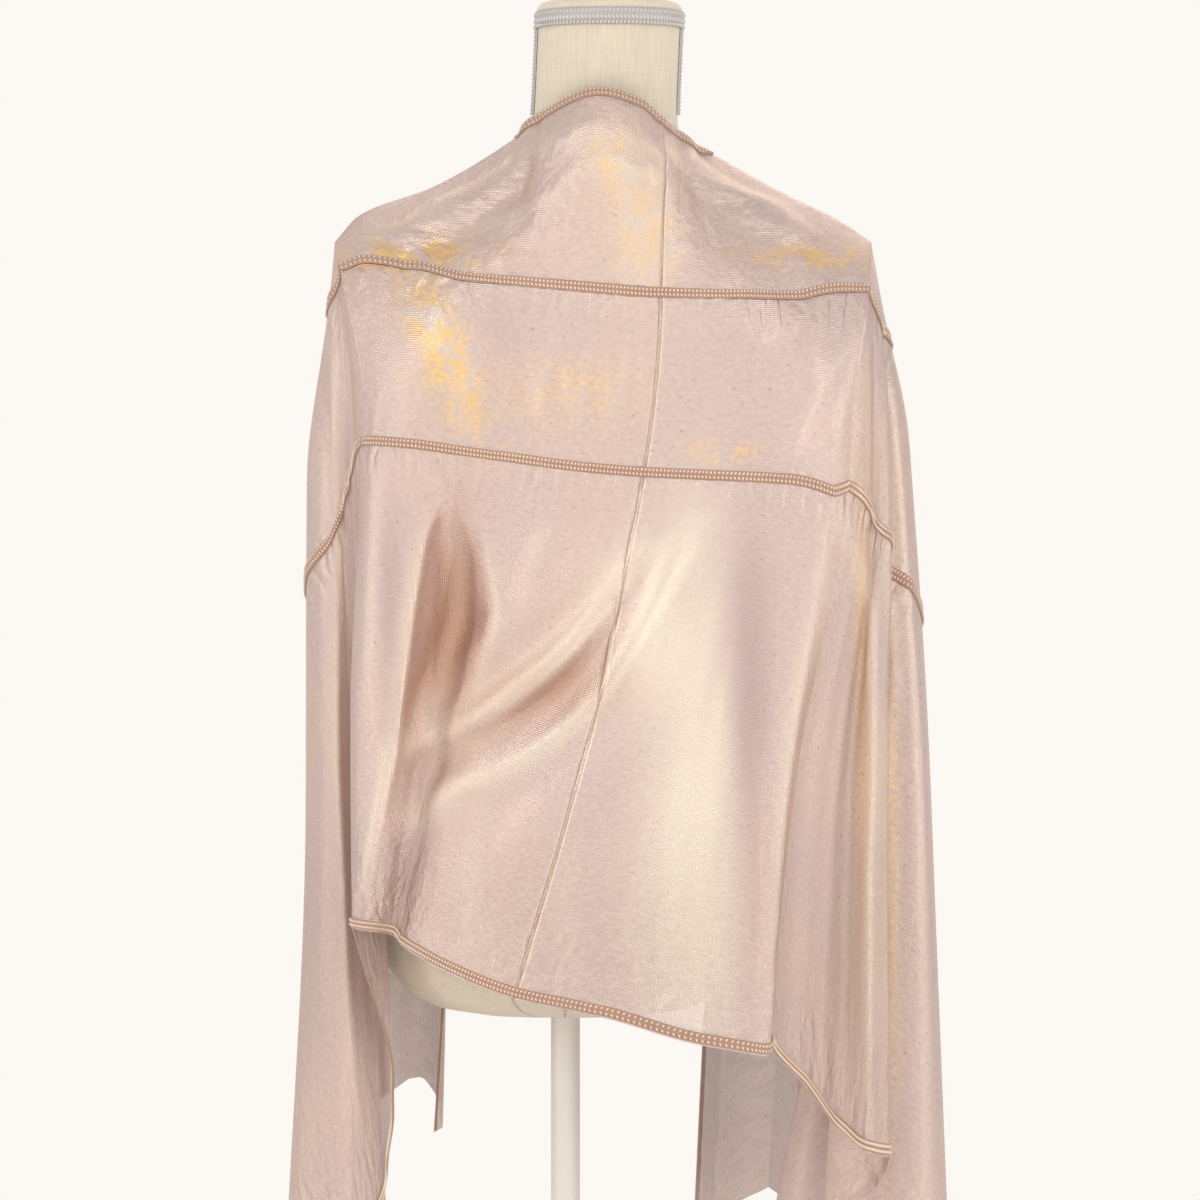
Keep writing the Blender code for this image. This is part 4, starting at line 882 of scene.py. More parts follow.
def organza_finish(sizes):
    """Sheer cloth of rose silk crossed with a metal thread, with gold and cream highlights and shade
    painted on it.
    """
    sheet = Finish("stole_cloth")
    cloth = sheet.attribute("cloth_place", "Vector")
    along, across, _depth = sheet.parts(cloth)
    x, y, z = sheet.parts(sheet.add("ShaderNodeTexCoord", {}, output="Object"))
    behind = ((0.01 - y) * 30.0).clamped()
    broad = sheet.noise(cloth, 7.0, 1.0, 0.55, "2D")
    streaks = sheet.noise(sheet.place(along * 55.0, across * 5.0, 0.0), 1.0, 1.0, 0.6, "2D")
    crinkle = sheet.noise(sheet.place(along * 190.0, across * 330.0, 0.0), 1.0, 2.0, 0.68, "2D")
    dents = sheet.noise(sheet.place(along * 62.0, across * 44.0, 0.0), 1.0, 2.0, 0.55, "2D")

    def patch(middle_x, middle_z, wide, high):
        """A soft patch on the back of the stole, by its place and reach in metres."""
        return x.bell(middle_x, wide) * z.bell(middle_z, high) * behind

    # Where highlights are painted in gold and cream, and where shade is painted into the hollows and where
    # nothing lies behind the cloth
    slope = z * 0.41 + x
    clumps = (dents * 4.0 - 1.35).clamped()
    # Painted gold highlights: a slanting band and soft patches on the shoulders, nape, right side and
    # tails, broken into clumps and glints
    diagonal = slope.bell(0.2950, 0.020) * z.bell(0.940, 0.055) * behind
    shoulder_highlight = patch(-0.112, 1.012, 0.055, 0.012) + diagonal
    nape_highlight = patch(0.036, 1.085, 0.018, 0.026) + patch(0.060, 1.030, 0.030, 0.040)
    right_highlight = patch(0.118, 0.866, 0.022, 0.008) + patch(0.185, 1.012, 0.050, 0.008)
    tail_highlight = patch(0.222, 0.690, 0.006, 0.160) + patch(0.245, 0.560, 0.006, 0.180)
    # Painted highlight between the two braids
    between = patch(0.005, 0.910, 0.055, 0.026)
    # Painted cream satin highlight on the lower right swell and at the nape
    satin_highlight = patch(0.098, 0.600, 0.032, 0.200) + patch(0.062, 0.730, 0.020, 0.040) + nape_highlight * 0.6
    painted_glints = (crinkle * 5.0 - 2.1).clamped()
    bright = (shoulder_highlight * 1.6 + right_highlight * 1.4 + nape_highlight * 0.6 + between * 0.5) * clumps
    bright = bright + tail_highlight * 0.6
    gold_highlight_mask = (bright * (painted_glints * 0.9 + 0.30)).clamped()
    # Painted shade in the left pocket and in the hollow under the upper drag
    hollow = patch(-0.085, 0.735, 0.026, 0.075) + patch(-0.010, 0.690, 0.060, 0.022) * 0.7
    # Painted shade where the cloth hangs clear of the form and its dark inside shows through
    clear = patch(0.136, 0.690, 0.018, 0.110) + patch(-0.128, 0.760, 0.008, 0.090) * 0.6

    # Colours, from the ground of the cloth to the crease, with highlights and shade painted over the ground
    colour = sheet.blend((broad * 1.6 - 0.30).clamped(), sizes.lilac[:], sizes.rose[:])
    # Painted highlight on the fold crests and painted shade in the fold hollows, from each fold's height
    fold = sheet.attribute("fold_height")
    crest = (fold * 0.8).clamped()
    # Painted glints on the fine crinkles
    colour = sheet.blend(((crinkle - 0.38) * 2.2).clamped() * 0.30, colour, sizes.cream[:])
    colour = sheet.blend((crest * 0.50).clamped(), colour, sizes.cream[:])
    # Painted peach shade in the fold hollows and the pocket
    colour = sheet.blend(((fold * -0.40).clamped() * 0.5 + hollow * 0.4).clamped(), colour, sizes.peach[:])
    # Painted see-through shade
    colour = sheet.blend((clear * 0.75).clamped(), colour, sizes.shade[:])
    # Painted cream satin highlight, streaked
    colour = sheet.blend((satin_highlight * (0.45 + streaks * 0.7)).clamped() * 0.8, colour, sizes.cream[:])
    # Painted gold highlight
    colour = sheet.blend((gold_highlight_mask * 0.9).clamped(), colour, sizes.gold[:])
    pressed = along.bell(0.0022, 0.0009) - along.bell(-0.0003, 0.0010)
    # Painted highlight on the lit side of the pressed crease, painted shade on its other side
    colour = sheet.blend(along.bell(0.0022, 0.0009) * 0.7, colour, sizes.cream[:])
    colour = sheet.blend(along.bell(-0.0006, 0.0008) * 0.35, colour, sizes.peach[:])

    # Puckers by the braids, dents by the neck and the hem, and the weave
    near_braid = across.bell(UPPER_BRAID + 0.010, 0.020) + across.bell(LOWER_BRAID + 0.008, 0.016)
    pucker = (along * (2 * pi / PUCKER_SPACING) + dents * 9.0).sine() * near_braid
    near_hem = across.bell(STOLE_WIDTH, 0.070)
    calm = 0.20 + across.bell(0.08, 0.09) * 0.9 + near_hem * 1.4 + shoulder_highlight * 0.6
    thread = 2 * pi / THREAD_SPACING
    weave = (across * thread).sine() * 0.08 + (along * thread).sine() * 0.05
    height = dents * calm * 2.4 + pucker * 0.4 + crinkle * 0.24 + pressed * 0.6 + weave
    normal = sheet.bump(height, 0.0013, 0.95)

    # The cloth is see-through where it hangs free and at the right shoulder
    hanging = ((0.60 - z) * 6.0).clamped() + x.bell(0.235, 0.035) * 0.6 + patch(0.160, 1.065, 0.060, 0.020)
    cover = (1 - hanging.clamped() * (1 - sizes.cover) * (1.4 - crinkle * 0.8)).clamped()
    silk = sheet.add("ShaderNodeBsdfPrincipled", {}, {
        "Base Color": colour, "Roughness": (0.20 + crinkle * 0.20 + streaks * 0.06).clamped(),
        "Metallic": (0.56 + gold_highlight_mask * 0.30 + streaks * 0.16).clamped(), "Alpha": cover,
        "Normal": normal, "Sheen Weight": 0.30, "Sheen Roughness": 0.30,
        "Sheen Tint": (0.90, 0.80, 0.95), "Specular Tint": (1.0, 0.88, 0.66),
        "Specular IOR Level": 0.9})
    return sheet.surface(silk)


def braid_finish(sizes):
    """Woven braid with two rows of pale slanted stitches."""
    sheet = Finish("stole_braid")
    stitch = sheet.attribute("stitch")
    at = sheet.add("ShaderNodeTexCoord", {}, output="Object")
    grain = sheet.noise(at, 900.0, 2.0)
    patch = sheet.noise(at, 18.0, 2.0)
    ground = sheet.blend(patch, sizes.ground[:], sizes.ground_gold[:])
    thread = sheet.blend((patch * 1.4 - 0.2).clamped(), sizes.stitch[:], sizes.stitch_gold[:])
    colour = sheet.blend((stitch + (grain - 0.5) * 0.3).clamped(), ground, thread)
    return sheet.surface(sheet.add("ShaderNodeBsdfPrincipled", {}, {
        "Base Color": colour, "Roughness": 0.42 + grain * 0.2, "Metallic": stitch * 0.25,
        "Normal": sheet.bump(grain, 0.0003, 0.6), "Sheen Weight": 0.3}))


def linen_finish(sizes):
    """Plain cream linen with sewn seams."""
    sheet = Finish("form_cover")
    at = sheet.add("ShaderNodeTexCoord", {}, output="Object")
    x, y, z = sheet.parts(at)
    turn = sheet.attribute("form_turn")
    warp = sheet.noise(sheet.place(x * 620.0, y * 620.0, z * 36.0), 1.0, 2.0, 0.6)
    weft = sheet.noise(sheet.place(x * 50.0, y * 50.0, z * 700.0), 1.0, 2.0, 0.6)
    broad = sheet.noise(at, 9.0, 2.0)
    sewn = (1.02 - z) * 40.0
    seams = (turn.bell(0.0, 0.008) + turn.bell(0.34, 0.008) + turn.bell(-0.34, 0.008)) * sewn.clamped()
    dark = [value * 0.66 for value in sizes.linen]
    colour = sheet.blend((warp * 1.1 + weft * 0.5 - 0.20).clamped(), dark, sizes.linen[:])
    colour = sheet.blend((broad * 0.35).clamped(), colour, sizes.pale_linen[:])
    colour = sheet.blend((seams * 0.45).clamped(), colour, sizes.seam[:])
    normal = sheet.bump(warp * 0.5 + weft * 0.5 - seams * 2.2, 0.0006, 0.8)
    return sheet.surface(sheet.add("ShaderNodeBsdfPrincipled", {}, {
        "Base Color": colour, "Roughness": (0.78 + warp * 0.15).clamped(), "Normal": normal,
        "Sheen Weight": 0.2}))


def gimp_finish(sizes):
    """Silvery gimp braid on the form's neck."""
    sheet = Finish("form_braid")
    stitch = sheet.attribute("stitch")
    at = sheet.add("ShaderNodeTexCoord", {}, output="Object")
    grain = sheet.noise(at, 1100.0, 2.0)
    dark = [value * 0.62 for value in sizes.gimp]
    colour = sheet.blend((stitch * 0.85 + grain * 0.15).clamped(), dark, sizes.gimp[:])
    return sheet.surface(sheet.add("ShaderNodeBsdfPrincipled", {}, {
        "Base Color": colour, "Roughness": 0.38 + grain * 0.2, "Metallic": 0.1 + stitch * 0.15,
        "Normal": sheet.bump(grain, 0.0003, 0.5)}))


def paint_finish(sizes):
    """Smooth pale paint with faint wear."""
    sheet = Finish("stand_paint")
    at = sheet.add("ShaderNodeTexCoord", {}, output="Object")
    cloud = sheet.noise(at, 14.0, 3.0)
    pits = sheet.noise(at, 260.0, 2.0)
    dusty = [value * 0.86 for value in sizes.paint]
    colour = sheet.blend((cloud * 1.3 - 0.3).clamped(), dusty, sizes.paint[:])
    return sheet.surface(sheet.add("ShaderNodeBsdfPrincipled", {}, {
        "Base Color": colour, "Roughness": 0.30 + cloud * 0.2, "Normal": sheet.bump(pits, 0.0002, 0.3)}))


def place_lines(along, across):
    """Columns and depths of a row of cloth points that all lie that far across."""
    pairs = np.array([place_on_cloth(float(value), across) for value in along])
    return pairs[:, 0], pairs[:, 1]


def line_height(x, z, line, half_width, height):
    """Height of a fold along a line of points, sharp at its crest and fading out at both ends."""
    corners = np.array(line) / 1000
    lengths = np.hypot(*np.diff(corners, axis=0).T)
    ways = np.concatenate([[0.0], np.cumsum(lengths)])
    smooth = curve_through(ways, corners, np.linspace(0, ways[-1], 4 * len(corners)))
    steps = np.hypot(*np.diff(smooth, axis=0).T)
    ways = np.concatenate([[0.0], np.cumsum(steps)])
    best = np.full(x.shape, 1e9)
    at = np.zeros(x.shape)
    for index, step in enumerate(steps):
        run = (smooth[index + 1] - smooth[index]) / step
        off_x, off_z = x - smooth[index, 0], z - smooth[index, 1]
        along = np.clip(off_x * run[0] + off_z * run[1], 0, step)
        away = (off_x - along * run[0]) ** 2 + (off_z - along * run[1]) ** 2
        nearer = away < best
        best = np.where(nearer, away, best)
        at = np.where(nearer, (ways[index] + along) / ways[-1], at)
    width = half_width / 1000
    swell = 0.20 + 0.80 * np.sin(pi * np.clip(at, 0.02, 0.98)) ** 0.5
    blunt = 0.45 * width
    distance = np.sqrt(best + blunt ** 2) - blunt
    return height / 1000 * swell * np.exp(-(distance / width) ** 1.35)


def fine_relief(columns, depths, points, outward, strength):
    """Height of all the fine folds over the cloth."""
    grown = np.clip(depths / 0.28, 0, 1)
    grown = grown ** 2 * (3 - 2 * grown)
    ripples = np.zeros_like(depths)
    for _name, first, last, spacing, height, slant, start in RIPPLES:
        fade = np.clip((columns - first) / 0.04, 0, 1) * np.clip((last - columns) / 0.04, 0, 1)
        wave = np.sin(2 * pi * (columns / spacing + start) + slant * depths)
        swell = 0.65 + 0.35 * np.sin(2 * pi * (columns / (spacing * 5.3) + start * 3) - 2.1 * depths)
        second = 0.4 * np.sin(2 * pi * (columns / (spacing * 1.618) + start) - 1.7 * slant * depths)
        ripples += height * 0.001 * fade * swell * (wave + second) * grown
    facing = np.clip(-outward[:, :, 1] * 2.5, 0, 1) * np.clip(-points[:, :, 1] / 0.02, 0, 1)
    x, z = points[:, :, 0], points[:, :, 2]
    folds = np.zeros_like(depths)
    for _name, half_width, height, line in BACK_FOLDS:
        folds += line_height(x, z, line, half_width, height)
    for line in SHORT_WRINKLES:
        folds += line_height(x, z, line, WRINKLE_HALF_WIDTH, WRINKLE_HEIGHT)
    fade = strength * np.clip(depths / 0.02, 0, 1)
    return ripples * fade, folds * facing * fade


class FineCloth:
    """The draped cloth with its fine folds."""

    def __init__(self, sizes):
        self.surface = ClothSurface()
        self.sizes = sizes
        surface = self.surface
        grid_columns = np.repeat(surface.columns[:, None], len(surface.depths), axis=1)
        grid_depths = np.repeat(surface.depths[None, :], len(surface.columns), axis=0)
        ripples, folds = fine_relief(grid_columns, grid_depths, surface.points, surface.outward,
                                     sizes.fold_strength)
        relief = ripples + folds
        self.folds = folds[:, :, None]
        surface.points = clear_of_form(surface.points + surface.outward * relief[:, :, None])
        surface.outward = surface.normals()

    def points(self, columns, depths, lift=0.0):
        """Points of the cloth with the pressed crease on it."""
        crease = np.where(np.abs(columns) < 0.03, np.exp(-(columns / self.sizes.crease_width) ** 2), 0.0)
        return self.surface.at(columns, depths, crease * self.sizes.crease_height + lift)

    def columns(self):
        """Columns of the mesh: even over the back and the fans, and matched over the shoulders."""
        places = [LEFT_TIP_ALONG - QUARTER * FAN_REACH, LEFT_TIP_ALONG - 0.30, RIGHT_TIP_ALONG + 0.30,
                  RIGHT_TIP_ALONG + QUARTER * FAN_REACH]
        close = self.sizes.column_spacing
        runs = [np.arange(start, end, step) for start, end, step
                in zip(places, places[1:], (1.7 * close, close, 1.7 * close))]
        marks = [LEFT_TIP_ALONG, LEFT_CROSSING, RIGHT_CROSSING, RIGHT_TIP_ALONG]
        near = self.sizes.crease_width
        marks += [near * step for step in (-2.2, -1.5, -1.0, -0.5, 0.0, 0.5, 1.0, 1.5, 2.2)]
        middle = np.unique(np.round(np.concatenate([*runs, places, marks]), 6))
        left = [column_of("left front", float(carrying_across(key)))
                for key in middle if LEFT_TIP_ALONG < key <= LEFT_CROSSING + 1e-9]
        right = [column_of("right front", float(carrying_across(key)))
                 for key in middle if RIGHT_CROSSING - 1e-9 <= key < RIGHT_TIP_ALONG]
        return np.array(sorted(left) + list(middle) + sorted(right))


def mesh_piece(name, points, faces, finish):
    """A smooth piece of the scene from its points and faces."""
    mesh = bpy.data.meshes.new(name)
    mesh.from_pydata([tuple(point) for point in np.asarray(points).tolist()], [], faces)
    mesh.materials.append(finish)
    mesh.shade_smooth()
    piece = bpy.data.objects.new(name, mesh)
    bpy.context.scene.collection.objects.link(piece)
    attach(piece, "root")
    return piece


def point_values(piece, name, values, kind="FLOAT"):
    """Stores a value or a vector at every point of a piece, for its finish to read."""
    layer = piece.data.attributes.new(name, kind, "POINT")
    field = "vector" if kind == "FLOAT_VECTOR" else "value"
    layer.data.foreach_set(field, np.asarray(values, dtype=np.float32).ravel())


def grid_quads(rows, across, closed=False):
    """Quads of a grid of points, closed into a tube if asked."""
    quads = []
    for row in range(rows - 1):
        for place in range(across if closed else across - 1):
            following = (place + 1) % across
            quads.append((row * across + place, row * across + following,
                          (row + 1) * across + following, (row + 1) * across + place))
    return quads


def turned_faces(rings, sides):
    """Faces of a closed body made of rings, with a flat face at each end."""
    bottom = tuple(reversed(range(sides)))
    top = tuple(range((rings - 1) * sides, rings * sides))
    return grid_quads(rings, sides, closed=True) + [bottom, top]


def braid_strip(name, lines, rows, radius, finish):
    """A braid: a ground strip through lines of points, and rows of slanted stitches on it."""
    count = len(lines[0])
    points = list(np.concatenate(lines))
    faces = grid_quads(len(lines), count)
    stitch = [0.0] * len(points)
    for start, end, outward, side in rows:
        for first, last, up, aside in zip(start, end, outward, side):
            base = len(points)
            middle = (first + last) / 2
            points += [first, middle - aside * radius, last, middle + aside * radius, middle + up * radius]
            faces += [(base, base + 1, base + 4), (base + 1, base + 2, base + 4),
                      (base + 2, base + 3, base + 4), (base + 3, base, base + 4)]
            stitch += [1.0] * 5
    piece = mesh_piece(name, points, faces, finish)
    point_values(piece, "stitch", stitch)
    return piece


def stitch_row(first, last, lift_from):
    """Stitches between two rows of points: their ends, outward direction and sideways direction."""
    run = last - first
    run /= np.linalg.norm(run, axis=1, keepdims=True)
    up = lift_from / np.linalg.norm(lift_from, axis=1, keepdims=True)
    return first, last, up, np.cross(up, run)


class STOLE_OT_cloth(bpy.types.Operator):
    """Drape the cloth over the form, with its crease and folds"""

    bl_idname = "stole.cloth"
    bl_label = "Cloth"

    def execute(self, context):
        sizes = context.scene.stole_sizes
        cloth = FineCloth(sizes)
        columns = cloth.columns()
        parts = np.linspace(0.0, 1.0, sizes.rows + 1)
        ends = np.array([depth_of_end(column) for column in columns])
        depths = ends[:, None] * parts[None, :]
        wide = np.repeat(columns[:, None], len(parts), axis=1)
        points = cloth.points(wide, depths)
        points[:, 0] = clear_of_form(carrying_point(carrying_key(columns)))
        along = np.empty_like(depths)
        across = np.empty_like(depths)
        for index, column in enumerate(columns):
            row_along, row_across = cloth_coordinates(columns[index:index + 1], depths[index])
            along[index], across[index] = row_along[0], row_across[0]
        faces = grid_quads(len(columns), len(parts))
        faces = [tuple(reversed(face)) for face in faces]
        piece = mesh_piece("stole_cloth", points.reshape(-1, 3), faces, organza_finish(sizes))
        values = np.stack([along.ravel(), across.ravel(), depths.ravel()], axis=1)
        point_values(piece, "cloth_place", values, "FLOAT_VECTOR")
        # Fold heights, for the finish to paint highlight on the crests and shade in the hollows
        folds = cloth.surface.blend_at(cloth.folds, wide, depths)
        point_values(piece, "fold_height", folds * FOLD_PAINTED_LIGHT)
        joined = bmesh.new()
        joined.from_mesh(piece.data)
        bmesh.ops.remove_doubles(joined, verts=joined.verts, dist=WELD_DISTANCE)
        joined.to_mesh(piece.data)
        joined.free()
        piece.data.shade_smooth()
        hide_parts("stole_back", "stole_left_drape", "stole_right_drape")
        return {"FINISHED"}


class STOLE_OT_braids(bpy.types.Operator):
    """Sew the four braids on the cloth"""

    bl_idname = "stole.braids"
    bl_label = "Braids"

    def execute(self, context):
        sizes = context.scene.stole_braid_sizes
        cloth = FineCloth(context.scene.stole_sizes)
        finish = braid_finish(sizes)
        reach = STOLE_LENGTH / 2 - EDGE_MARGIN
        along = np.linspace(-reach, reach, int(2 * reach / sizes.pitch))
        before = np.clip(along - sizes.stitch_slant / 2, -reach, reach)
        after = np.clip(along + sizes.stitch_slant / 2, -reach, reach)
        for node, middle in BRAIDS:
            lines = [cloth.points(*place_lines(along, middle + offset * HALF_BRAID), lift)
                     for offset, lift in BRAID_PROFILE]
            rows = []
            for side in (-1, 1):
                first = place_lines(before, middle + side * STITCH_INNER * HALF_BRAID)
                last = place_lines(after, middle + side * STITCH_OUTER * HALF_BRAID)
                start, end = cloth.points(*first, STITCH_LIFT), cloth.points(*last, STITCH_LIFT)
                above = cloth.points(*first, STITCH_LIFT + LIFT_STEP)
                rows.append(stitch_row(start, end, above - start))
            piece = braid_strip(node + "_trim", lines, rows, sizes.stitch_radius, finish)
            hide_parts(node)
        return {"FINISHED"}


class STOLE_OT_form(bpy.types.Operator):
    """Cover the dress form in linen and cap its neck"""

    bl_idname = "stole.form"
    bl_label = "Dress form"

    def execute(self, context):
        sizes = context.scene.stole_form_sizes
        linen = linen_finish(sizes)
        heights = np.linspace(FORM_BOTTOM, FORM_TOP, sizes.rings)
        heights = np.unique(np.round(np.concatenate([heights, UNDERSIDE_RINGS]), 5))
        points = np.concatenate([form_ring(height, sizes.sides) for height in heights])
        cover = mesh_piece("form_linen", points, turned_faces(len(heights), sizes.sides), linen)
        centre, width, _behind, _before = form_section(points[:, 2])
        point_values(cover, "form_turn", (points[:, 0] - centre) / width)
        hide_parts("form_torso")
        top = np.array(form_ring(FORM_TOP, sizes.sides, CAP_OVERHANG))
        middle = top.mean(axis=0)
        cap_points = []
        for size, height in CAP_CURVE:
            ring = middle + (top - middle) * size
            ring[:, 2] = FORM_TOP + GAP + CAP_HEIGHT * height
            cap_points.append(ring)
        faces = turned_faces(len(CAP_CURVE), sizes.sides)
        cap = mesh_piece("form_neck_disc", np.concatenate(cap_points), faces, linen)
        point_values(cap, "form_turn", [FAR_FROM_SEAMS] * len(cap.data.vertices))
        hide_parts("form_neck_cap")
        return {"FINISHED"}


class STOLE_OT_gimp(bpy.types.Operator):
    """Sew the gimp braid round and down the form's neck"""

    bl_idname = "stole.gimp"
    bl_label = "Neck gimp"

    def execute(self, context):
        finish = gimp_finish(context.scene.stole_form_sizes)
        self.sew_ring(finish)
        self.sew_side(finish, "neck_left_gimp", "form_side_braid_left", pi + SIDE_GIMP_TURN)
        self.sew_side(finish, "neck_right_gimp", "form_side_braid_right", -SIDE_GIMP_TURN)
        return {"FINISHED"}

    def sew(self, name, node, lines, rows, finish):
        """Makes one gimp braid in the place of its node."""
        piece = braid_strip(name, lines, rows, GIMP_RADIUS, finish)
        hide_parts(node)

    def sew_ring(self, finish):
        """The gimp round the top of the neck."""
        turns = np.linspace(0.0, 2 * pi, RING_GIMP_STITCHES)
        level = np.full_like(turns, NECK_RING_HEIGHT)
        lines = [self.neck_point(turns, level + offset, lift) for offset, lift in RING_PROFILE]
        rows = []
        for low, high, lean in RING_STITCHES:
            start = self.neck_point(turns - lean, level + low, GIMP_LIFT)
            end = self.neck_point(turns + lean, level + high, RING_HEAD_LIFT)
            above = self.neck_point(turns - lean, level + low, GIMP_LIFT + LIFT_STEP)
            rows.append(stitch_row(start, end, above - start))
        self.sew("neck_ring_gimp", "form_neck_ring", lines, rows, finish)

    def sew_side(self, finish, name, node, middle):
        """A gimp down one side of the neck, at its turn round the neck."""
        foot, head = SIDE_BRAID_FOOT, NECK_RING_HEIGHT - HALF_BRAID - GAP
        heights = np.linspace(foot, head, SIDE_GIMP_STITCHES)
        later = np.clip(heights + SIDE_STITCH_RISE, foot, head)
        turns = np.full_like(heights, middle)
        half = HALF_BRAID / NECK_RADIUS
        lines = [self.neck_point(turns + offset * half, heights, lift) for offset, lift in SIDE_PROFILE]
        rows = []
        for side in (-1, 1):
            inner, outer = turns + side * SIDE_INNER * half, turns + side * SIDE_OUTER * half
            start = self.neck_point(inner, heights, GIMP_LIFT)
            end = self.neck_point(outer, later, GIMP_LIFT)
            above = self.neck_point(inner, heights, GIMP_LIFT + LIFT_STEP)
            rows.append(stitch_row(start, end, above - start))
        self.sew(name, node, lines, rows, finish)

    def neck_point(self, turn, height, lift):
        """Points on the neck at a turn and a height, lifted off it."""
        centre, width, behind, before = form_section(height)
        across, through = np.cos(turn), np.sin(turn)
        depth = np.where(through > 0, before, behind) + lift
        reach = (np.abs(across) ** FORM_POWER + np.abs(through) ** FORM_POWER) ** (-1 / FORM_POWER)
        return np.stack([centre + (width + lift) * across * reach, depth * through * reach, height], axis=1)


class STOLE_OT_stand(bpy.types.Operator):
    """Paint the pole and the base"""

    bl_idname = "stole.stand"
    bl_label = "Stand"

    def execute(self, context):
        paint = paint_finish(context.scene.stole_form_sizes)
        for node in ("stand_pole", "stand_base"):
            slots = bpy.data.objects[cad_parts[node].name].material_slots
            if not slots:
                raise RuntimeError("the stand has no material slot: " + node)
            for place in slots:
                place.material = paint
        return {"FINISHED"}


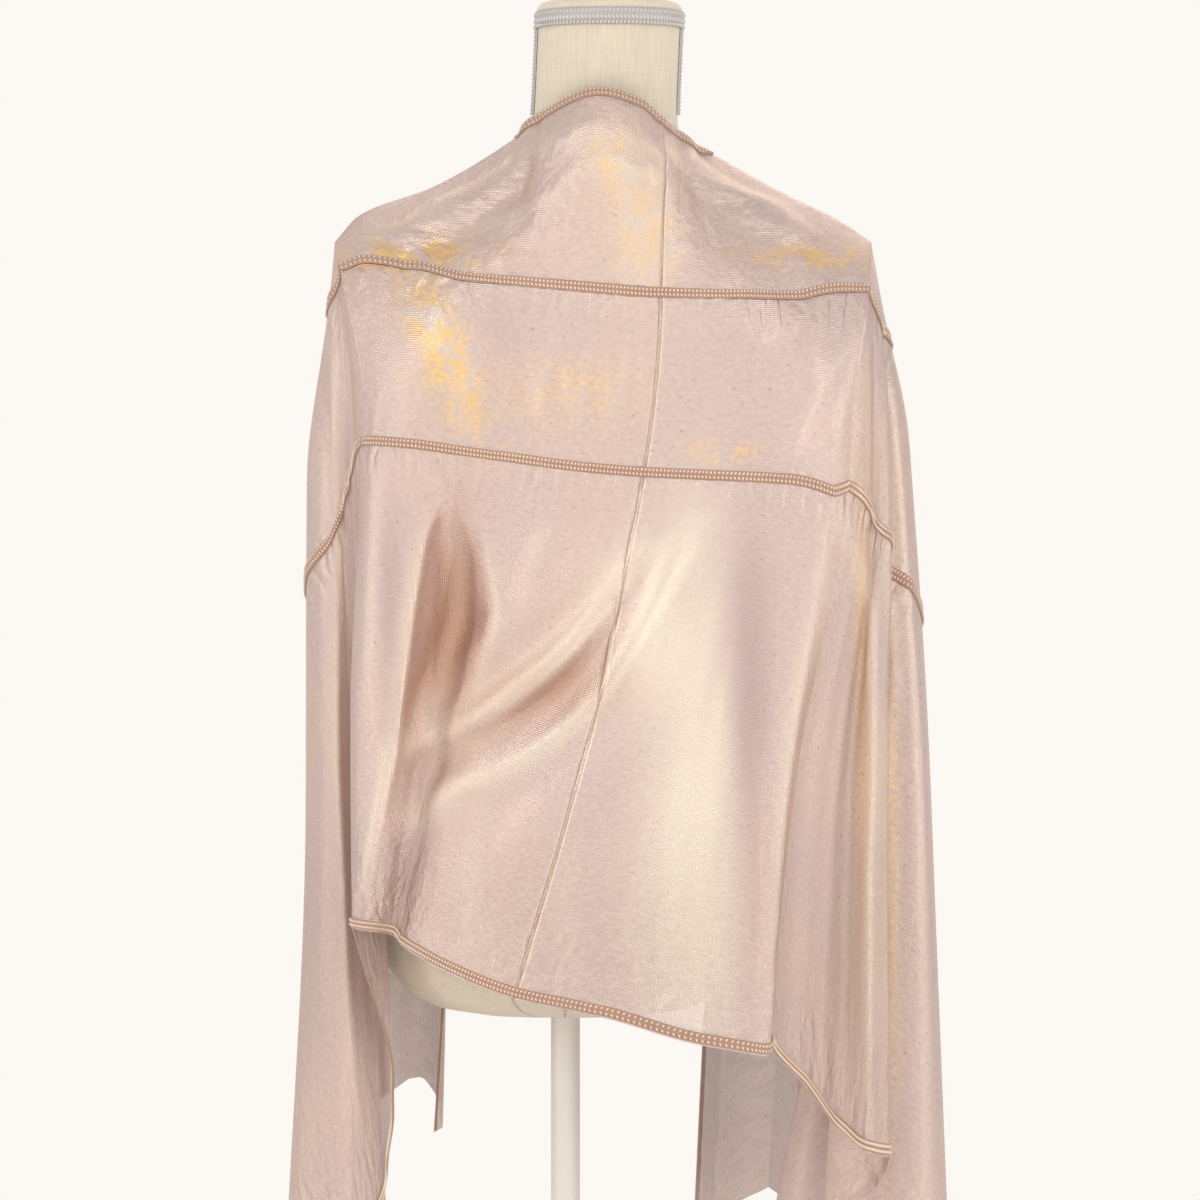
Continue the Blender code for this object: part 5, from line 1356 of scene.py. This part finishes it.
class STOLE_OT_stage(bpy.types.Operator):
    """Set the floor, the lights and the camera"""

    bl_idname = "stole.stage"
    bl_label = "Stage"

    def execute(self, context):
        sizes = context.scene.stole_stage_sizes
        scene = context.scene
        scene.view_settings.view_transform = "Standard"
        self.make_floor(scene)
        self.make_sky(scene, sizes)
        lights = (("key", (-1.8, -3.3, 2.3), 0.45, 0.9, sizes.key_power, (1.0, 0.93, 0.80)),
                  ("fill", (2.0, -3.4, 0.8), 0.35, 1.6, sizes.fill_power, (1.0, 0.94, 0.86)),
                  ("top", (0.3, -2.2, 3.4), 0.7, 0.5, sizes.top_power, (1.0, 0.93, 0.82)),
                  ("left strip", (-3.2, -1.9, 0.9), 0.30, 2.4, sizes.strip_power, (1.0, 0.95, 0.88)),
                  ("right strip", (3.3, -1.5, 0.9), 0.30, 2.4, sizes.strip_power, (1.0, 0.94, 0.86)),
                  ("back", (0.4, 3.0, 2.4), 2.2, 2.2, sizes.back_power, (1.0, 0.97, 0.94)))
        for name, place, width, height, power, colour in lights:
            data = bpy.data.lights.new(name, "AREA")
            data.shape = "RECTANGLE"
            data.size = width
            data.size_y = height
            data.energy = power
            data.color = colour
            lamp = bpy.data.objects.new(name, data)
            lamp.location = place
            toward = Vector(LIGHTS_AIM) - Vector(place)
            lamp.rotation_euler = toward.to_track_quat("-Z", "Y").to_euler()
            scene.collection.objects.link(lamp)
        data = bpy.data.cameras.new("camera")
        data.sensor_width = SENSOR_WIDTH
        data.lens = SENSOR_WIDTH * sizes.camera_distance / sizes.frame_width
        camera = bpy.data.objects.new("camera", data)
        camera.location = (sizes.frame_x, CLOTH_PLANE - sizes.camera_distance, sizes.frame_z)
        camera.rotation_euler = (pi / 2, 0.0, 0.0)
        scene.collection.objects.link(camera)
        scene.camera = camera
        return {"FINISHED"}

    def make_floor(self, scene):
        """A wide pale disc under the stand."""
        sheet = Finish("floor")
        cloud = sheet.noise(sheet.add("ShaderNodeTexCoord", {}, output="Object"), 1.5)
        colour = sheet.blend(cloud, (0.90, 0.87, 0.83), (0.93, 0.90, 0.86))
        finish = sheet.surface(sheet.add("ShaderNodeBsdfPrincipled", {}, {
            "Base Color": colour, "Roughness": 0.9, "Specular IOR Level": 0.2}))
        turns = np.linspace(0, 2 * pi, FLOOR_SIDES + 1)[:-1]
        points = [(FLOOR_RADIUS * cos(turn), FLOOR_RADIUS * sin(turn), -FLOOR_DROP) for turn in turns]
        mesh = bpy.data.meshes.new("floor")
        mesh.from_pydata(points, [], [tuple(range(len(points)))])
        mesh.materials.append(finish)
        floor = bpy.data.objects.new("floor", mesh)
        scene.collection.objects.link(floor)

    def make_sky(self, scene, sizes):
        """Even light from all round, with the backdrop's colour behind the form."""
        world = bpy.data.worlds.new("studio")
        world.use_nodes = True
        scene.world = world
        tree = world.node_tree
        tree.nodes.clear()
        seen = tree.nodes.new("ShaderNodeBackground")
        seen.inputs["Color"].default_value = (*sizes.backdrop, 1.0)
        lit = tree.nodes.new("ShaderNodeBackground")
        lit.inputs["Color"].default_value = (*sizes.haze, 1.0)
        lit.inputs["Strength"].default_value = sizes.sky
        ray = tree.nodes.new("ShaderNodeLightPath")
        join = tree.nodes.new("ShaderNodeMixShader")
        output = tree.nodes.new("ShaderNodeOutputWorld")
        tree.links.new(ray.outputs["Is Camera Ray"], join.inputs[0])
        tree.links.new(lit.outputs[0], join.inputs[1])
        tree.links.new(seen.outputs[0], join.inputs[2])
        tree.links.new(join.outputs[0], output.inputs["Surface"])


class STOLE_PT_panel(bpy.types.Panel):
    """Buttons and sizes of the stole"""

    bl_idname = "STOLE_PT_panel"
    bl_label = "Evening stole"
    bl_space_type = "VIEW_3D"
    bl_region_type = "UI"
    bl_category = "Stole"

    def draw(self, context):
        for operator in OPERATORS:
            self.layout.operator(operator.bl_idname)
        for name, group in GROUPS.items():
            box = self.layout.box()
            for field in group.__annotations__:
                box.prop(getattr(context.scene, name), field)


GROUPS = {
    "stole_sizes": StoleSizes,
    "stole_braid_sizes": BraidSizes,
    "stole_form_sizes": FormSizes,
    "stole_stage_sizes": StageSizes,
}
OPERATORS = (STOLE_OT_cloth, STOLE_OT_braids, STOLE_OT_form, STOLE_OT_gimp, STOLE_OT_stand, STOLE_OT_stage)


def register():
    for item in (*GROUPS.values(), *OPERATORS, STOLE_PT_panel):
        bpy.utils.register_class(item)
    for name, group in GROUPS.items():
        setattr(bpy.types.Scene, name, PointerProperty(type=group))


def unregister():
    for name in GROUPS:
        delattr(bpy.types.Scene, name)
    for item in reversed((*GROUPS.values(), *OPERATORS, STOLE_PT_panel)):
        bpy.utils.unregister_class(item)


def main():
    register()
    bpy.ops.stole.cloth()
    bpy.ops.stole.braids()
    bpy.ops.stole.form()
    bpy.ops.stole.gimp()
    bpy.ops.stole.stand()
    bpy.ops.stole.stage()


if __name__ == "__main__":
    main()
